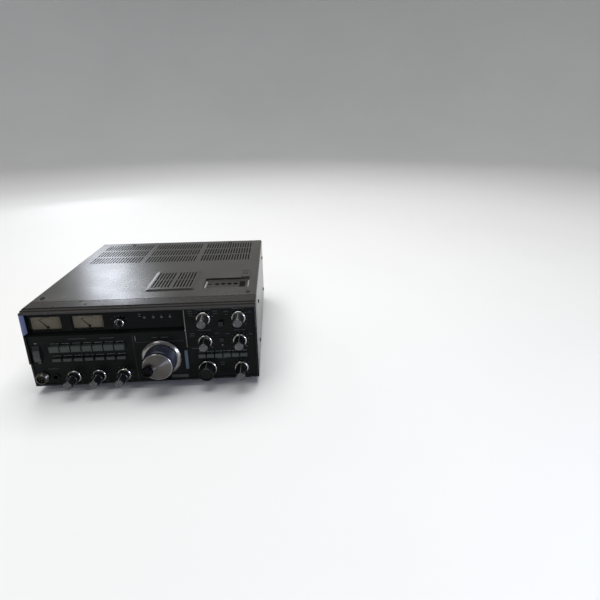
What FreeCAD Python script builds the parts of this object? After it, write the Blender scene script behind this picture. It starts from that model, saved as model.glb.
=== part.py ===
import FreeCAD, Part
import os
import re
import Sketcher

# Desktop amateur radio transceiver.
# Frame: millimetres, +Z up, front panel towards -Y, +X to the right of someone facing it.
# Origin: centre of the footprint, on the surface that the feet stand on.
# Pieces are drawn from the front face of the bezel (y) and from the underside of the case (z).

os.makedirs("parts", exist_ok=True)
doc = FreeCAD.newDocument("transceiver")

SIZES = {
    # case
    "case_width": 334, "case_height": 124.5, "case_depth": 319, "foot_height": 12,
    "cover_wall": 1.2, "cover_split": 48, "cover_seam": 0.5, "corner_radius": 3,
    # bezel
    "bezel_depth": 30, "bezel_groove": 1.0, "cheek_wall": 3, "bezel_flange": 2.5,
    "lip_depth": 2.6, "lip_height": 37.5, "lip_slope": 2.5, "brow_drop": 5.8,
    "brow_riser": 1.9, "brow_run": 4.8, "brow_fall": 0.3, "cheek_flare": 2, "brow_gap": 0.5,
    # front panel
    "panel_set_back": 1, "panel_wall": 3, "panel_fit": 0.2, "opening_gap": 0.3,
    "window_set_back": 8, "window_wall": 2, "window_tall": 35.7, "sill_rise": 3,
    "sill_wall": 4, "divider_width": 2.4, "divider_share": 0.3500, "trim_bar_offset": 0.8,
    "trim_bar_low": 20.4, "trim_bar_width": 4.4, "trim_bar_tall": 31.4,
    "trim_bar_stand": 2.5,
    # pair knobs at the lower left
    "pair_inset": 58.9, "pair_pitch": 36.6, "pair_height": 14.6, "pair_count": 3,
    "pair_skirt_radius": 10.5, "pair_ring_radius": 8.4, "pair_ring_length": 12,
    "pair_knob_radius": 6.4, "pair_length": 25.5, "tube_radius": 4.4,
    # small knobs on the right panel
    "knob_inset": 26, "knob_column_pitch": 51, "row_drop": 16.3, "row_sink": 7.15,
    "knob_row_low": 18.4, "knob_skirt_radius": 10.7,
    "knob_radius": 8.3, "knob_cap_radius": 6.5, "knob_length": 21, "tall_knob_length": 27.5,
    "skirt_height": 3, "knob_gap": 0.6, "skirt_bevel": 1.2, "pointer_width": 1,
    "pointer_depth": 0.6, "pointer_start": 0.35, "knob_edge": 0.7, "knob_face_depth": 0.5,
    "shaft_radius": 3, "shaft_fit": 0.05, "shaft_hole_gap": 0.6,
    "shaft_reach": 13, "control_radius": 8.5, "control_depth": 12, "control_end": 1,
    # channel knob and meter selector
    "channel_skirt_radius": 14, "channel_radius": 12.2, "channel_cap_radius": 10.6,
    "channel_length": 19, "channel_dish": 2, "selector_gap": 45.6, "selector_sink": 2,
    "selector_skirt_radius": 7, "selector_radius": 5.2, "selector_cap_radius": 4.2,
    "selector_length": 14, "selector_reach": 12,
    # tuning dial
    "dial_share": 0.5, "dial_sink": 1.2, "dial_radius": 29.5, "dial_gap": 0.8,
    "dial_skirt_height": 4, "dial_skirt_bevel": 3, "dial_core_radius": 21.2,
    "dial_grip_wall": 2.8, "dial_grip_length": 18, "dial_depth": 24.7, "dial_edge": 1,
    "spinner_x": -13.6, "spinner_height": -4.6, "spinner_radius": 8, "spinner_waist": 0.8,
    "spinner_length": 6, "spinner_gap": 0.4, "spinner_pin_radius": 2, "spinner_pin": 8,
    "encoder_radius": 15, "encoder_depth": 22, "encoder_end": 2,
    # keys
    "upper_key_inset": 40, "upper_key_gap": 1.7, "upper_key_count": 7,
    "upper_key_drop": 15.6, "upper_key_width": 13.8, "upper_key_tall": 9.2,
    "upper_key_stand": 6, "key_row_pitch": 18.2, "lower_key_width": 12,
    "lower_key_tall": 5, "lower_key_stand": 5, "band_key_inset": 21.65,
    "band_key_gap": 1.63, "band_key_count": 6, "band_key_rise": 23.5,
    "band_key_width": 10.7, "band_key_tall": 6.4, "band_key_stand": 5,
    "call_key_offset": 24.6, "call_key_drop": 8.9, "call_key_size": 7.5,
    "call_key_stand": 4, "key_travel": 2.5, "key_back": 2,
    "key_edge": 0.6, "stem_size": 3.6, "stem_length": 9, "bank_depth": 15,
    "bank_margin": 1.6, "bank_wall": 1,
    # power rocker
    "rocker_inset": 13.1, "rocker_drop": 24.4, "rocker_width": 9.4, "rocker_tall": 25.6,
    "rocker_stand": 4, "rocker_crown": 2, "rocker_pivot": 5.5, "rocker_pin_radius": 1.2,
    "rocker_pin_reach": 2.2, "rocker_swing_gap": 1.7, "rocker_housing_wall": 2.4,
    "rocker_lean": 6.5, "rocker_back": 2,
    # sockets on the front
    "mic_inset": 12.5, "mic_height": 14.4, "mic_radius": 8, "mic_stand": 6.5,
    "mic_nut_radius": 9.2, "mic_nut": 2, "mic_tail_radius": 6.4, "mic_tail": 8,
    "mic_pin_radius": 0.8, "mic_pin_circle": 4.6, "mic_pins": 7, "mic_floor": 2.5,
    "mic_shell_wall": 1.5, "mic_edge": 0.4,
    "phones_inset": 31.5, "phones_height": 14.5, "jack_bore_radius": 3.25,
    "jack_barrel_radius": 4.6, "jack_nut_radius": 6, "jack_nut": 1.8, "jack_depth": 24,
    "jack_case_radius": 7, "jack_end_wall": 2,
    # meters
    "meter_inset": 29.1, "meter_pitch": 59.9, "meter_sink": 2.6, "meter_width": 45.5,
    "meter_tall": 22.7, "meter_wall": 2, "meter_cavity": 4.5,
    "needle_length": 17, "needle_width": 0.8, "needle_wall": 0.5, "needle_hub": 2,
    "needle_drop": 8.6, "needle_pin_radius": 1, "needle_pin": 5, "needle_rest": 40,
    "needle_stand": 1.2,
    # raised speaker panel on the top cover
    "grille_gap": 11.4, "grille_y": 98, "grille_size": 78, "grille_rise": 2,
    "grille_run": 5.5, "grille_slot_width": 2.1, "grille_slot_length": 31,
    "grille_slot_pitch": 5.05, "grille_slots": 6, "grille_post": 3.9, "grille_bar": 2.5,
    "speaker_radius": 33, "speaker_lap": 1, "speaker_frame_wall": 1.5, "speaker_depth": 26,
    "magnet_radius": 17, "magnet_height": 9, "speaker_cone_wall": 3,
    # cooling slots
    "vent_pitch": 5.17, "vent_width": 2.2, "vent_length": 33, "vent_slots": 18,
    "vent_post": 8.24, "vent_groups": 3, "vent_bar": 5.5, "vent_rows": 3,
    "vent_rear_inset": 31,
    # opening over the preset controls
    "hatch_inset": 14, "hatch_width": 71.6, "hatch_y": 63, "hatch_length": 40,
    "notch_width": 14, "notch_length": 37, "lid_wall": 1, "lid_gap": 0.3, "lid_lap": 4,
    "lid_back": 1, "lid_grip_inset": 2, "lid_grip_length": 33, "lid_grip_stand": 0.3,
    "lid_rib": 1.2, "lid_ribs": 4, "lid_rib_depth": 0.8, "lid_edge_gap": 0.5,
    "well_depth": 3.2, "well_wall": 1.2, "well_rim": 3, "well_slope": 40, "well_rail": 4.5,
    "preset_radius": 3, "preset_pitch": 10.1, "preset_inset": 18.5,
    "preset_rise": 28, "preset_count": 4, "preset_body_radius": 4.2, "preset_body": 8,
    "preset_slit": 0.8, "spare_slit_offset": 11.5,
    # chassis and what it carries
    "chassis_wall": 1.5, "deck_drop": 66.5, "sub_panel_y": 36, "deck_flange": 18,
    "board_wall": 1.6, "board_post": 5, "board_post_radius": 3, "board_margin": 14,
    "board_gap": 4.5, "board_post_inset": 8, "can_height": 22, "can_width": 50,
    "can_length": 70, "can_pitch": 80, "cans": 3, "can_inset": 60,
    "display_board_y": 16, "display_board_gap": 10.4, "display_board_margin": 2,
    "digits_inset": 8, "digits_tall": 15, "display_post_rise": 14,
    "transformer_inset": 60.8, "transformer_rear_inset": 61, "transformer_width": 78,
    "transformer_length": 60, "transformer_height": 52, "coil_overhang": 12,
    "coil_rise": 8,
    # rear
    "rear_wall": 1.5, "rear_lip": 12, "heat_sink_inset": 37, "heat_sink_width": 150,
    "heat_sink_low": 18, "heat_sink_drop": 14.5, "heat_sink_depth": 26,
    "heat_sink_base": 5, "fin_count": 16, "fin_wall": 2.2, "antenna_inset": 27,
    "antenna_rise": 18, "antenna_pitch": 30, "antenna_radius": 7.9, "antenna_length": 14,
    "antenna_bore": 2, "antenna_flange": 25, "antenna_wall": 1.5, "antenna_core_wall": 1.2,
    "antenna_tail_radius": 5.9, "antenna_tail": 6, "socket_flange": 2, "socket_floor": 4,
    "inlet_height": 24, "inlet_width": 24, "inlet_tall": 18, "inlet_stand": 8,
    "inlet_lip": 2, "inlet_tail": 14, "accessory_height": 24, "accessory_radius": 7.5,
    "accessory_stand": 4, "accessory_rim": 1.5, "accessory_tail": 8,
    "rear_jack_offset": 40, "rear_jack_rise": 16, "rear_jack_pitch": 17, "rear_jacks": 3,
    "fuse_offset": 38, "fuse_rise": 16, "fuse_radius": 7, "fuse_stand": 12, "fuse_tail": 24,
    "fuse_tube_radius": 6,
    "ground_rise": 44, "ground_radius": 2.5, "ground_length": 16, "ground_nut": 5.5,
    "ground_nut_height": 5,
    # feet and screws
    "foot_radius": 12, "foot_taper": 2, "foot_inset_x": 32, "foot_inset_front": 38,
    "foot_inset_rear": 38, "screw_radius": 1.5, "screw_head_radius": 3.2,
    "screw_head": 1.6, "screw_length": 7, "screw_hole_gap": 0.3, "screw_fit": 0.1,
    "front_screw_inset": 13.4, "front_screw_y": 42.8, "rear_screw_inset": 67,
    "rear_screw_edge": 9, "side_screw_y": 70, "side_screw_edge": 33,
    "side_screw_drop": 29.5, "low_screw_height": 24,
}

# Places worked out from the sizes above.
PLACES = {
    "front_reach": "dial_gap + dial_depth + spinner_gap + spinner_length - panel_set_back",
    "face_y": "(front_reach - case_depth - heat_sink_depth) / 2",
    "half_width": "case_width / 2",
    "panel_half": "half_width - cheek_wall - panel_fit",
    "panel_low": "cheek_wall + panel_fit",
    "panel_back": "panel_set_back + panel_wall",
    "window_back": "window_set_back + window_wall",
    "cover_front": "bezel_depth + bezel_groove",
    "cover_length": "case_depth - cover_front",
    "chassis_half": "half_width - cover_wall",
    "chassis_length": "case_depth - rear_wall - bezel_depth",
    "under_top": "case_height - cover_wall",
    "rear_inner": "case_depth - rear_wall",
    # heights on the front, down from the top
    "brow_height": "case_height - brow_drop",
    "brow_top": "brow_height + brow_riser",
    "brow_under": "brow_height - brow_gap",
    "panel_high": "brow_under - panel_fit",
    "sill_front": "brow_height - window_tall",
    "sill_low": "sill_front - sill_wall",
    "window_low": "sill_front + sill_rise",
    "meter_height": "(window_low + panel_high) / 2 - meter_sink",
    "selector_height": "meter_height - selector_sink",
    "dial_height": "(cheek_wall + sill_low) / 2 - dial_sink",
    "upper_key_height": "sill_low - upper_key_drop",
    "lower_key_height": "upper_key_height - key_row_pitch",
    "rocker_height": "sill_low - rocker_drop",
    "knob_row_top": "brow_height - row_drop",
    "band_key_height": "knob_row_low + band_key_rise",
    "knob_row_middle": "(band_key_height + knob_row_top) / 2 - row_sink",
    "call_key_height": "knob_row_top - call_key_drop",
    # places across the front, in from the left and from the right
    "rocker_x": "rocker_inset - half_width",
    "mic_x": "mic_inset - half_width",
    "phones_x": "phones_inset - half_width",
    "meter_one_x": "meter_inset - half_width",
    "meter_two_x": "meter_one_x + meter_pitch",
    "selector_x": "meter_two_x + selector_gap",
    "pair_x": "pair_inset - half_width",
    "upper_key_x": "upper_key_inset - half_width",
    "upper_key_pitch": "upper_key_width + upper_key_gap",
    "knob_column_two": "half_width - knob_inset",
    "knob_column_one": "knob_column_two - knob_column_pitch",
    "band_key_pitch": "band_key_width + band_key_gap",
    "band_key_x": "half_width - band_key_inset - (band_key_count - 1) * band_key_pitch",
    "call_key_x": "knob_column_one + call_key_offset",
    # the dial, the trim bar and the divider share what the knobs leave free
    "zone_left": "pair_x + (pair_count - 1) * pair_pitch + pair_skirt_radius",
    "zone_right": "knob_column_one - channel_skirt_radius",
    "bar_reach": "trim_bar_offset + trim_bar_width / 2",
    "zone_slack": "zone_right - zone_left - 2 * dial_radius - divider_width - bar_reach",
    "dial_x": "zone_left + dial_radius + dial_share * zone_slack",
    "window_right": "zone_right - divider_width - divider_share * zone_slack",
    "trim_bar_x": "window_right - trim_bar_offset",
    "dial_grip_radius": "dial_core_radius + dial_grip_wall",
    # top cover
    "vent_group_pitch": "vent_slots * vent_pitch + vent_post",
    "vent_row_pitch": "vent_length + vent_bar",
    "vent_first_x": "0 - (vent_groups - 1) * vent_group_pitch / 2 - (vent_slots - 1) * vent_pitch / 2",
    "vent_first_y": "case_depth - vent_rear_inset - (vent_rows - 1) * vent_row_pitch",
    "hatch_x": "half_width - hatch_inset - hatch_width",
    "grille_x": "hatch_x - grille_gap - grille_size / 2",
    "grille_gap_x": "grille_slots * grille_slot_pitch + grille_post",
    "grille_gap_y": "grille_slot_length + grille_bar",
    "speaker_frame": "grille_size + 2 * speaker_lap",
    "preset_x": "hatch_x + preset_inset",
    "preset_y": "hatch_y + preset_rise",
    "lid_top": "under_top - lid_gap",
    "well_top": "lid_top - lid_wall - lid_gap",
    "lid_rest_y": "hatch_y + hatch_length + lid_back",
    "lid_left": "hatch_x - lid_lap",
    "lid_width": "hatch_width + 2 * lid_lap",
    "well_floor": "well_top - well_depth",
    "well_under": "well_floor - well_wall",
    # inside
    "deck_height": "case_height - deck_drop",
    "board_start": "sub_panel_y + chassis_wall + board_margin",
    "transformer_x": "transformer_inset - chassis_half",
    "transformer_y": "case_depth - transformer_rear_inset",
    "board_length": "transformer_y - transformer_length / 2 - board_gap - board_start",
    "can_x": "0 - ((cans - 1) * can_pitch + can_width) / 2",
    "display_board_x": "selector_x + display_board_gap",
    "digits_x": "display_board_x + digits_inset",
    # rear
    "antenna_x": "antenna_inset - half_width",
    "antenna_low": "deck_height + antenna_rise",
    "rear_jack_x": "antenna_x + rear_jack_offset",
    "rear_jack_low": "deck_height + rear_jack_rise",
    "fuse_x": "rear_jack_x + fuse_offset",
    "fuse_height": "deck_height + fuse_rise",
    "ground_height": "deck_height + ground_rise",
    "accessory_x": "rear_jack_x",
    "inlet_x": "fuse_x",
    "ground_x": "fuse_x",
    "heat_sink_x": "half_width - heat_sink_inset - heat_sink_width / 2",
    "heat_sink_tall": "case_height - heat_sink_low - heat_sink_drop",
    # screws
    "front_screw_x": "half_width - front_screw_inset",
    "rear_screw_x": "half_width - rear_screw_inset",
    "rear_screw_y": "case_depth - rear_screw_edge",
    "side_screw_pitch": "case_depth - side_screw_edge - side_screw_y",
    "side_screw_height": "case_height - side_screw_drop",
}

sheet = doc.addObject("Spreadsheet::Sheet", "Sizes")
for row, (alias, value) in enumerate(SIZES.items(), start=1):
    sheet.set(f"A{row}", alias)
    sheet.set(f"B{row}", str(value))
    sheet.setAlias(f"B{row}", alias)
doc.recompute()

nodes = []


def spell(formula):
    """Spell a formula of size and place names as an expression on the sheet."""
    def swap(match):
        word = match.group(0)
        if word in PLACES:
            return f"({spell(PLACES[word])})"
        return f"Sizes.{word}" if word in SIZES else word
    return re.sub(r"[a-z_]+", swap, formula)


def bind(thing, prop, formula):
    thing.setExpression(prop, spell(formula))


def count(alias):
    return int(sheet.get(alias))


def place(thing, x="0", y="0", z="0"):
    """Put a thing at a point measured from the bezel's face and the case's underside."""
    bind(thing, "Placement.Base.x", x)
    bind(thing, "Placement.Base.y", f"face_y + {y}")
    bind(thing, "Placement.Base.z", f"foot_height + {z}")


def node(thing, name):
    thing.Label = name
    nodes.append(thing)
    return thing


def loose_body(name, x="0", y="0", z="0"):
    body = doc.addObject("PartDesign::Body", name)
    place(body, x, y, z)
    return body


def new_body(name, x="0", y="0", z="0"):
    return node(loose_body(name, x, y, z), name)


def lean(body, axis, angle):
    """Turn a body about its own origin, by an angle in degrees tied to a formula."""
    body.Placement = FreeCAD.Placement(body.Placement.Base, FreeCAD.Rotation(axis, 1))
    bind(body, "Placement.Rotation.Angle", angle)


PLANES = {"top": ("XY_Plane", ""), "front": ("XZ_Plane", "-"), "side": ("YZ_Plane", "")}


def sketch(body, plane, name, offset="0"):
    """A sketch on one of the body's own planes, offset along +Z, +Y or +X."""
    role, sign = PLANES[plane]
    drawing = body.newObject("Sketcher::SketchObject", f"{body.Name}_{name}")
    origin = [part for part in body.Origin.OriginFeatures if part.Role == role][0]
    drawing.AttachmentSupport = [(origin, "")]
    drawing.MapMode = "FlatFace"
    bind(drawing, "AttachmentOffset.Base.z", f"{sign}({offset})")
    return drawing


def polygon(drawing, points):
    """A closed outline whose corners are tied to formulas."""
    first_edge = drawing.GeometryCount
    total = len(points)
    ring = [FreeCAD.Vector(index, index * index, 0) for index in range(total)]
    edges = [Part.LineSegment(ring[i], ring[(i + 1) % total]) for i in range(total)]
    drawing.addGeometry(edges, False)
    rules = [Sketcher.Constraint("Coincident", first_edge + i, 2,
                                 first_edge + (i + 1) % total, 1) for i in range(total)]
    for i in range(total):
        rules.append(Sketcher.Constraint("DistanceX", -1, 1, first_edge + i, 1, ring[i].x))
        rules.append(Sketcher.Constraint("DistanceY", -1, 1, first_edge + i, 1, ring[i].y))
    slot = drawing.ConstraintCount + total
    drawing.addConstraint(rules)
    for across, up in points:
        bind(drawing, f"Constraints[{slot}]", across)
        bind(drawing, f"Constraints[{slot + 1}]", up)
        slot += 2


def rectangle(drawing, left, low, right, high):
    polygon(drawing, [(left, low), (right, low), (right, high), (left, high)])


def centred(drawing, x, z, width, tall):
    rectangle(drawing, f"{x} - ({width}) / 2", f"{z} - ({tall}) / 2",
              f"{x} + ({width}) / 2", f"{z} + ({tall}) / 2")


def circle(drawing, x, z, radius):
    edge = drawing.GeometryCount
    drawing.addGeometry(Part.Circle(FreeCAD.Vector(1, 1, 0), FreeCAD.Vector(0, 0, 1), 1), False)
    slot = drawing.ConstraintCount
    drawing.addConstraint([Sketcher.Constraint("DistanceX", -1, 1, edge, 3, 1.0),
                           Sketcher.Constraint("DistanceY", -1, 1, edge, 3, 1.0),
                           Sketcher.Constraint("Radius", edge, 1.0)])
    for step, formula in enumerate((x, z, radius)):
        bind(drawing, f"Constraints[{slot + step}]", formula)


def pad(body, drawing, length, back=False, middle=False, taper=None):
    feature = body.newObject("PartDesign::Pad", f"{drawing.Name}_pad")
    feature.Profile = drawing
    feature.Reversed = back
    feature.Midplane = middle
    bind(feature, "Length", length)
    if taper:
        bind(feature, "TaperAngle", taper)
    drawing.Visibility = False
    return feature


def cut(body, drawing, depth=None, back=False, taper=None):
    """A pocket; with no depth it goes through everything, both ways."""
    feature = body.newObject("PartDesign::Pocket", f"{drawing.Name}_cut")
    feature.Profile = drawing
    feature.Reversed = back
    if depth is None:
        feature.Type = "ThroughAll"
        feature.Midplane = True
    else:
        bind(feature, "Length", depth)
    if taper:
        bind(feature, "TaperAngle", taper)
    return feature


def turn(body, drawing):
    """A shape turned about the body's own Y axis, from an outline of radius and depth."""
    feature = body.newObject("PartDesign::Revolution", f"{drawing.Name}_turned")
    feature.Profile = drawing
    feature.ReferenceAxis = (drawing, ["V_Axis"])
    feature.Angle = 360
    return feature


def soften(body, base, kind, size, wanted):
    """Fillet or chamfer the edges of a feature that the test picks out."""
    base.recompute(True)
    names = [f"Edge{i}" for i, edge in enumerate(base.Shape.Edges, start=1) if wanted(edge)]
    feature = body.newObject(f"PartDesign::{kind}", f"{base.Name}_{kind.lower()}")
    feature.Base = (base, names)
    bind(feature, "Radius" if kind == "Fillet" else "Size", size)
    return feature


def pattern(body, feature, steps):
    """Repeat a feature along the axes of its sketch: (axis, count, pitch) each."""
    many = body.newObject("PartDesign::MultiTransform", f"{feature.Name}_pattern")
    many.Originals = [feature]
    parts = []
    for axis, number, pitch in steps:
        line = body.newObject("PartDesign::LinearPattern", f"{feature.Name}_{axis[0]}_{number}")
        line.Direction = (feature.Profile[0], [axis])
        bind(line, "Occurrences", number)
        bind(line, "Length", f"({number} - 1) * {pitch}")
        parts.append(line)
    many.Transformations = parts
    body.Tip = many
    return many


def along_y(edge, tolerance=1e-6):
    """Whether an edge is straight and runs from front to back."""
    a, b = edge.Vertexes[0].Point, edge.Vertexes[-1].Point
    return abs(a.x - b.x) < tolerance and abs(a.z - b.z) < tolerance and a != b


def block(name, x, y, z, width, length, tall):
    """A box from its left, front, low corner."""
    box = doc.addObject("Part::Box", name)
    bind(box, "Length", width)
    bind(box, "Width", length)
    bind(box, "Height", tall)
    place(box, x, y, z)
    return box


ROTATIONS = {
    "up": FreeCAD.Rotation(),
    "back": FreeCAD.Rotation(FreeCAD.Vector(1, 0, 0), -90),
    "right": FreeCAD.Rotation(FreeCAD.Vector(0, 1, 0), 90),
    "left": FreeCAD.Rotation(FreeCAD.Vector(0, 1, 0), -90),
    "down": FreeCAD.Rotation(FreeCAD.Vector(1, 0, 0), 180),
}


def rod(name, x, y, z, radius, length, way="back"):
    """A round bar that starts at a point and runs up, down, back, left or right."""
    bar = doc.addObject("Part::Cylinder", name)
    bar.Placement = FreeCAD.Placement(FreeCAD.Vector(), ROTATIONS[way])
    bind(bar, "Radius", radius)
    bind(bar, "Height", length)
    place(bar, x, y, z)
    return bar


def cone(name, x, y, z, low_radius, high_radius, tall):
    shape = doc.addObject("Part::Cone", name)
    bind(shape, "Radius1", low_radius)
    bind(shape, "Radius2", high_radius)
    bind(shape, "Height", tall)
    place(shape, x, y, z)
    return shape


def joined(name, *members):
    fuse = doc.addObject("Part::MultiFuse", name)
    fuse.Shapes = list(members)
    return fuse


def less(name, base, *tools):
    result = doc.addObject("Part::Cut", name)
    result.Base = base
    result.Tool = tools[0] if len(tools) == 1 else joined(f"{name}_tools", *tools)
    return result


def group(name, members):
    bundle = doc.addObject("Part::Compound", name)
    bundle.Links = members
    return node(bundle, name)


def side_by_side(name, number):
    return [f"{name}_{index + 1}" for index in range(number)]


# Front bezel: a frame with a flat top strip, two ribbed steps, cheeks that lean out to a lip,
# and a flange inside that the panel sits on.
def front_bezel():
    body = new_body("front_bezel")
    outline = sketch(body, "front", "outline", "-lip_depth")
    rectangle(outline, "-half_width", "0", "half_width", "case_height")
    frame = pad(body, outline, "lip_depth + bezel_depth", back=True)
    soften(body, frame, "Fillet", "corner_radius",
           lambda edge: along_y(edge) and edge.Vertexes[0].Z > 1)
    steps = sketch(body, "side", "steps")
    polygon(steps, [
        ("-lip_depth - 1", "-1"), ("0", "-1"), ("0", "lip_height"),
        ("-lip_depth", "lip_height + lip_slope"), ("0", "brow_height"), ("0", "brow_top"),
        ("brow_run", "brow_top + brow_fall"),
        ("brow_run", "brow_top + brow_riser"),
        ("2 * brow_run", "brow_top + brow_riser + brow_fall"),
        ("2 * brow_run", "case_height + 1"), ("-lip_depth - 1", "case_height + 1")])
    cut(body, steps)
    inside = sketch(body, "front", "inside")
    rectangle(inside, "-half_width + cheek_wall + bezel_flange", "cheek_wall + bezel_flange",
              "half_width - cheek_wall - bezel_flange", "brow_height - bezel_flange")
    cut(body, inside)
    seat = sketch(body, "front", "seat", "panel_back")
    rectangle(seat, "-half_width + cheek_wall", "cheek_wall",
              "half_width - cheek_wall", "brow_under")
    cut(body, seat, "panel_back + lip_depth + 1", back=True)
    window = sketch(body, "front", "window")
    rectangle(window, "-half_width + cheek_wall", "sill_front - sill_wall",
              "window_right + divider_width + 1", "brow_under")
    cut(body, window)
    flare = sketch(body, "top", "flare", "sill_front")
    polygon(flare, [("-half_width + cheek_wall + 0.1", "window_set_back"),
                    ("-half_width + cheek_wall + 0.1", "-lip_depth - 1"),
                    ("-half_width + cheek_wall - cheek_flare", "-lip_depth - 1"),
                    ("-half_width + cheek_wall - cheek_flare", "-lip_depth + 1")])
    cut(body, flare, "brow_under - sill_front", back=True)


# Front panel: one plate with all its openings, the sloping sill under the meters and the
# wall between the meters and the right side.
def front_panel():
    body = new_body("front_panel")
    outline = sketch(body, "front", "outline", "panel_set_back")
    polygon(outline, [("-panel_half", "panel_low"), ("panel_half", "panel_low"),
                      ("panel_half", "panel_high"), ("window_right", "panel_high"),
                      ("window_right", "sill_front"), ("-panel_half", "sill_front")])
    pad(body, outline, "panel_wall", back=True)
    sill = sketch(body, "side", "sill", "-panel_half")
    polygon(sill, [("panel_set_back", "sill_front - sill_wall"), ("panel_set_back", "sill_front"),
                   ("window_set_back", "window_low"), ("window_back", "window_low"),
                   ("window_back", "sill_front - sill_wall")])
    pad(body, sill, "panel_half + window_right + divider_width")
    wall = sketch(body, "front", "wall", "panel_set_back")
    rectangle(wall, "window_right", "sill_front", "window_right + divider_width", "panel_high")
    pad(body, wall, "window_back - panel_set_back", back=True)
    bar = sketch(body, "front", "trim_bar", "panel_set_back")
    rectangle(bar, "trim_bar_x - trim_bar_width / 2", "trim_bar_low",
              "trim_bar_x + trim_bar_width / 2", "trim_bar_low + trim_bar_tall")
    pad(body, bar, "trim_bar_stand")
    keys = sketch(body, "front", "keys", "panel_set_back")
    for step in range(count("upper_key_count")):
        spot = f"upper_key_x + {step} * upper_key_pitch"
        centred(keys, spot, "upper_key_height", "upper_key_width + 2 * opening_gap",
                "upper_key_tall + 2 * opening_gap")
        centred(keys, spot, "lower_key_height", "lower_key_width + 2 * opening_gap",
                "lower_key_tall + 2 * opening_gap")
    cut(body, keys)
    others = sketch(body, "front", "others", "panel_set_back")
    for step in range(count("band_key_count")):
        centred(others, f"band_key_x + {step} * band_key_pitch", "band_key_height",
                "band_key_width + 2 * opening_gap", "band_key_tall + 2 * opening_gap")
    centred(others, "call_key_x", "call_key_height", "call_key_size + 2 * opening_gap",
            "call_key_size + 2 * opening_gap")
    centred(others, "rocker_x", "rocker_height", "rocker_width + 2 * opening_gap",
            "rocker_tall + 2 * rocker_swing_gap")
    cut(body, others)
    holes = sketch(body, "front", "holes", "panel_set_back")
    for step in range(count("pair_count")):
        circle(holes, f"pair_x + {step} * pair_pitch", "pair_height",
               "tube_radius + shaft_hole_gap")
    for x, z in RIGHT_KNOBS.values():
        circle(holes, x, z, "shaft_radius + shaft_hole_gap")
    circle(holes, "knob_column_one", "knob_row_low", "shaft_radius + shaft_hole_gap")
    circle(holes, "dial_x", "dial_height", "shaft_radius + shaft_hole_gap")
    circle(holes, "mic_x", "mic_height", "mic_radius + opening_gap")
    circle(holes, "phones_x", "phones_height", "jack_barrel_radius + opening_gap")
    cut(body, holes)


RIGHT_KNOBS = {
    "mode_knob": ("knob_column_one", "knob_row_top"),
    "shift_knob": ("knob_column_two", "knob_row_top"),
    "clarifier_knob": ("knob_column_one", "knob_row_middle"),
    "blanker_knob": ("knob_column_two", "knob_row_middle"),
    "offset_knob": ("knob_column_two", "knob_row_low"),
}


# Clear plate over the meters and the display, with a hole for the selector's shaft.
def display_window():
    body = new_body("display_window")
    outline = sketch(body, "front", "outline", "window_set_back")
    rectangle(outline, "-panel_half", "window_low", "window_right", "panel_high")
    circle(outline, "selector_x", "selector_height", "shaft_radius + shaft_hole_gap")
    pad(body, outline, "window_wall", back=True)


# A round knob with its spindle, turned in one outline. Its own origin is on the panel.
def turned_knob(name, x, z, skirt, root, cap, length, dish="knob_face_depth",
                seat="panel_set_back", reach="shaft_reach"):
    body = new_body(name, x, seat, z)
    outline = sketch(body, "top", "outline")
    polygon(outline, [
        ("0", f"-{length} + {dish}"), (f"{cap} - 2 * knob_edge", f"-{length} + {dish}"),
        (f"{cap} - knob_edge", f"-{length}"), (cap, f"-{length} + knob_edge"),
        (root, "-knob_gap - skirt_height"), (f"{skirt} - skirt_bevel", "-knob_gap - skirt_height"),
        (skirt, "-knob_gap - skirt_height + skirt_bevel"), (skirt, "-knob_gap"),
        ("shaft_radius", "-knob_gap"), ("shaft_radius", reach), ("0", reach)])
    turn(body, outline)
    pointer(body, cap, length)
    return body


def pointer(body, cap, length):
    """The index groove that shows which way a knob points."""
    groove = sketch(body, "front", "groove", f"-{length}")
    rectangle(groove, "-pointer_width / 2", f"{cap} * pointer_start", "pointer_width / 2",
              f"{cap} + 1")
    cut(body, groove, "pointer_depth + knob_face_depth")


# Outer ring knob with its hollow spindle, and the inner knob that runs in it.
def knob_pair(ring_name, knob_name, step):
    x = f"pair_x + {step} * pair_pitch"
    ring = new_body(ring_name, x, "panel_set_back", "pair_height")
    outline = sketch(ring, "top", "outline")
    polygon(outline, [
        ("shaft_radius + shaft_fit", "-pair_ring_length"),
        ("pair_ring_radius - knob_edge", "-pair_ring_length"),
        ("pair_ring_radius", "-pair_ring_length + knob_edge"),
        ("pair_ring_radius", "-knob_gap - skirt_height"),
        ("pair_skirt_radius - skirt_bevel", "-knob_gap - skirt_height"),
        ("pair_skirt_radius", "-knob_gap - skirt_height + skirt_bevel"),
        ("pair_skirt_radius", "-knob_gap"), ("tube_radius", "-knob_gap"),
        ("tube_radius", "shaft_reach"), ("shaft_radius + shaft_fit", "shaft_reach")])
    turn(ring, outline)
    knob = new_body(knob_name, x, "panel_set_back", "pair_height")
    outline = sketch(knob, "top", "outline")
    polygon(outline, [
        ("0", "-pair_length + knob_face_depth"),
        ("pair_knob_radius - 2 * knob_edge", "-pair_length + knob_face_depth"),
        ("pair_knob_radius - knob_edge", "-pair_length"),
        ("pair_knob_radius", "-pair_length + knob_edge"),
        ("pair_knob_radius", "-pair_ring_length - knob_gap"),
        ("shaft_radius", "-pair_ring_length - knob_gap"),
        ("shaft_radius", "shaft_reach + control_depth"), ("0", "shaft_reach + control_depth")])
    turn(knob, outline)
    pointer(knob, "pair_knob_radius", "pair_length")


PAIRS = (("rf_gain_ring", "volume_knob"), ("tone_ring", "squelch_knob"),
         ("carrier_ring", "mic_gain_knob"))


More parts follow.
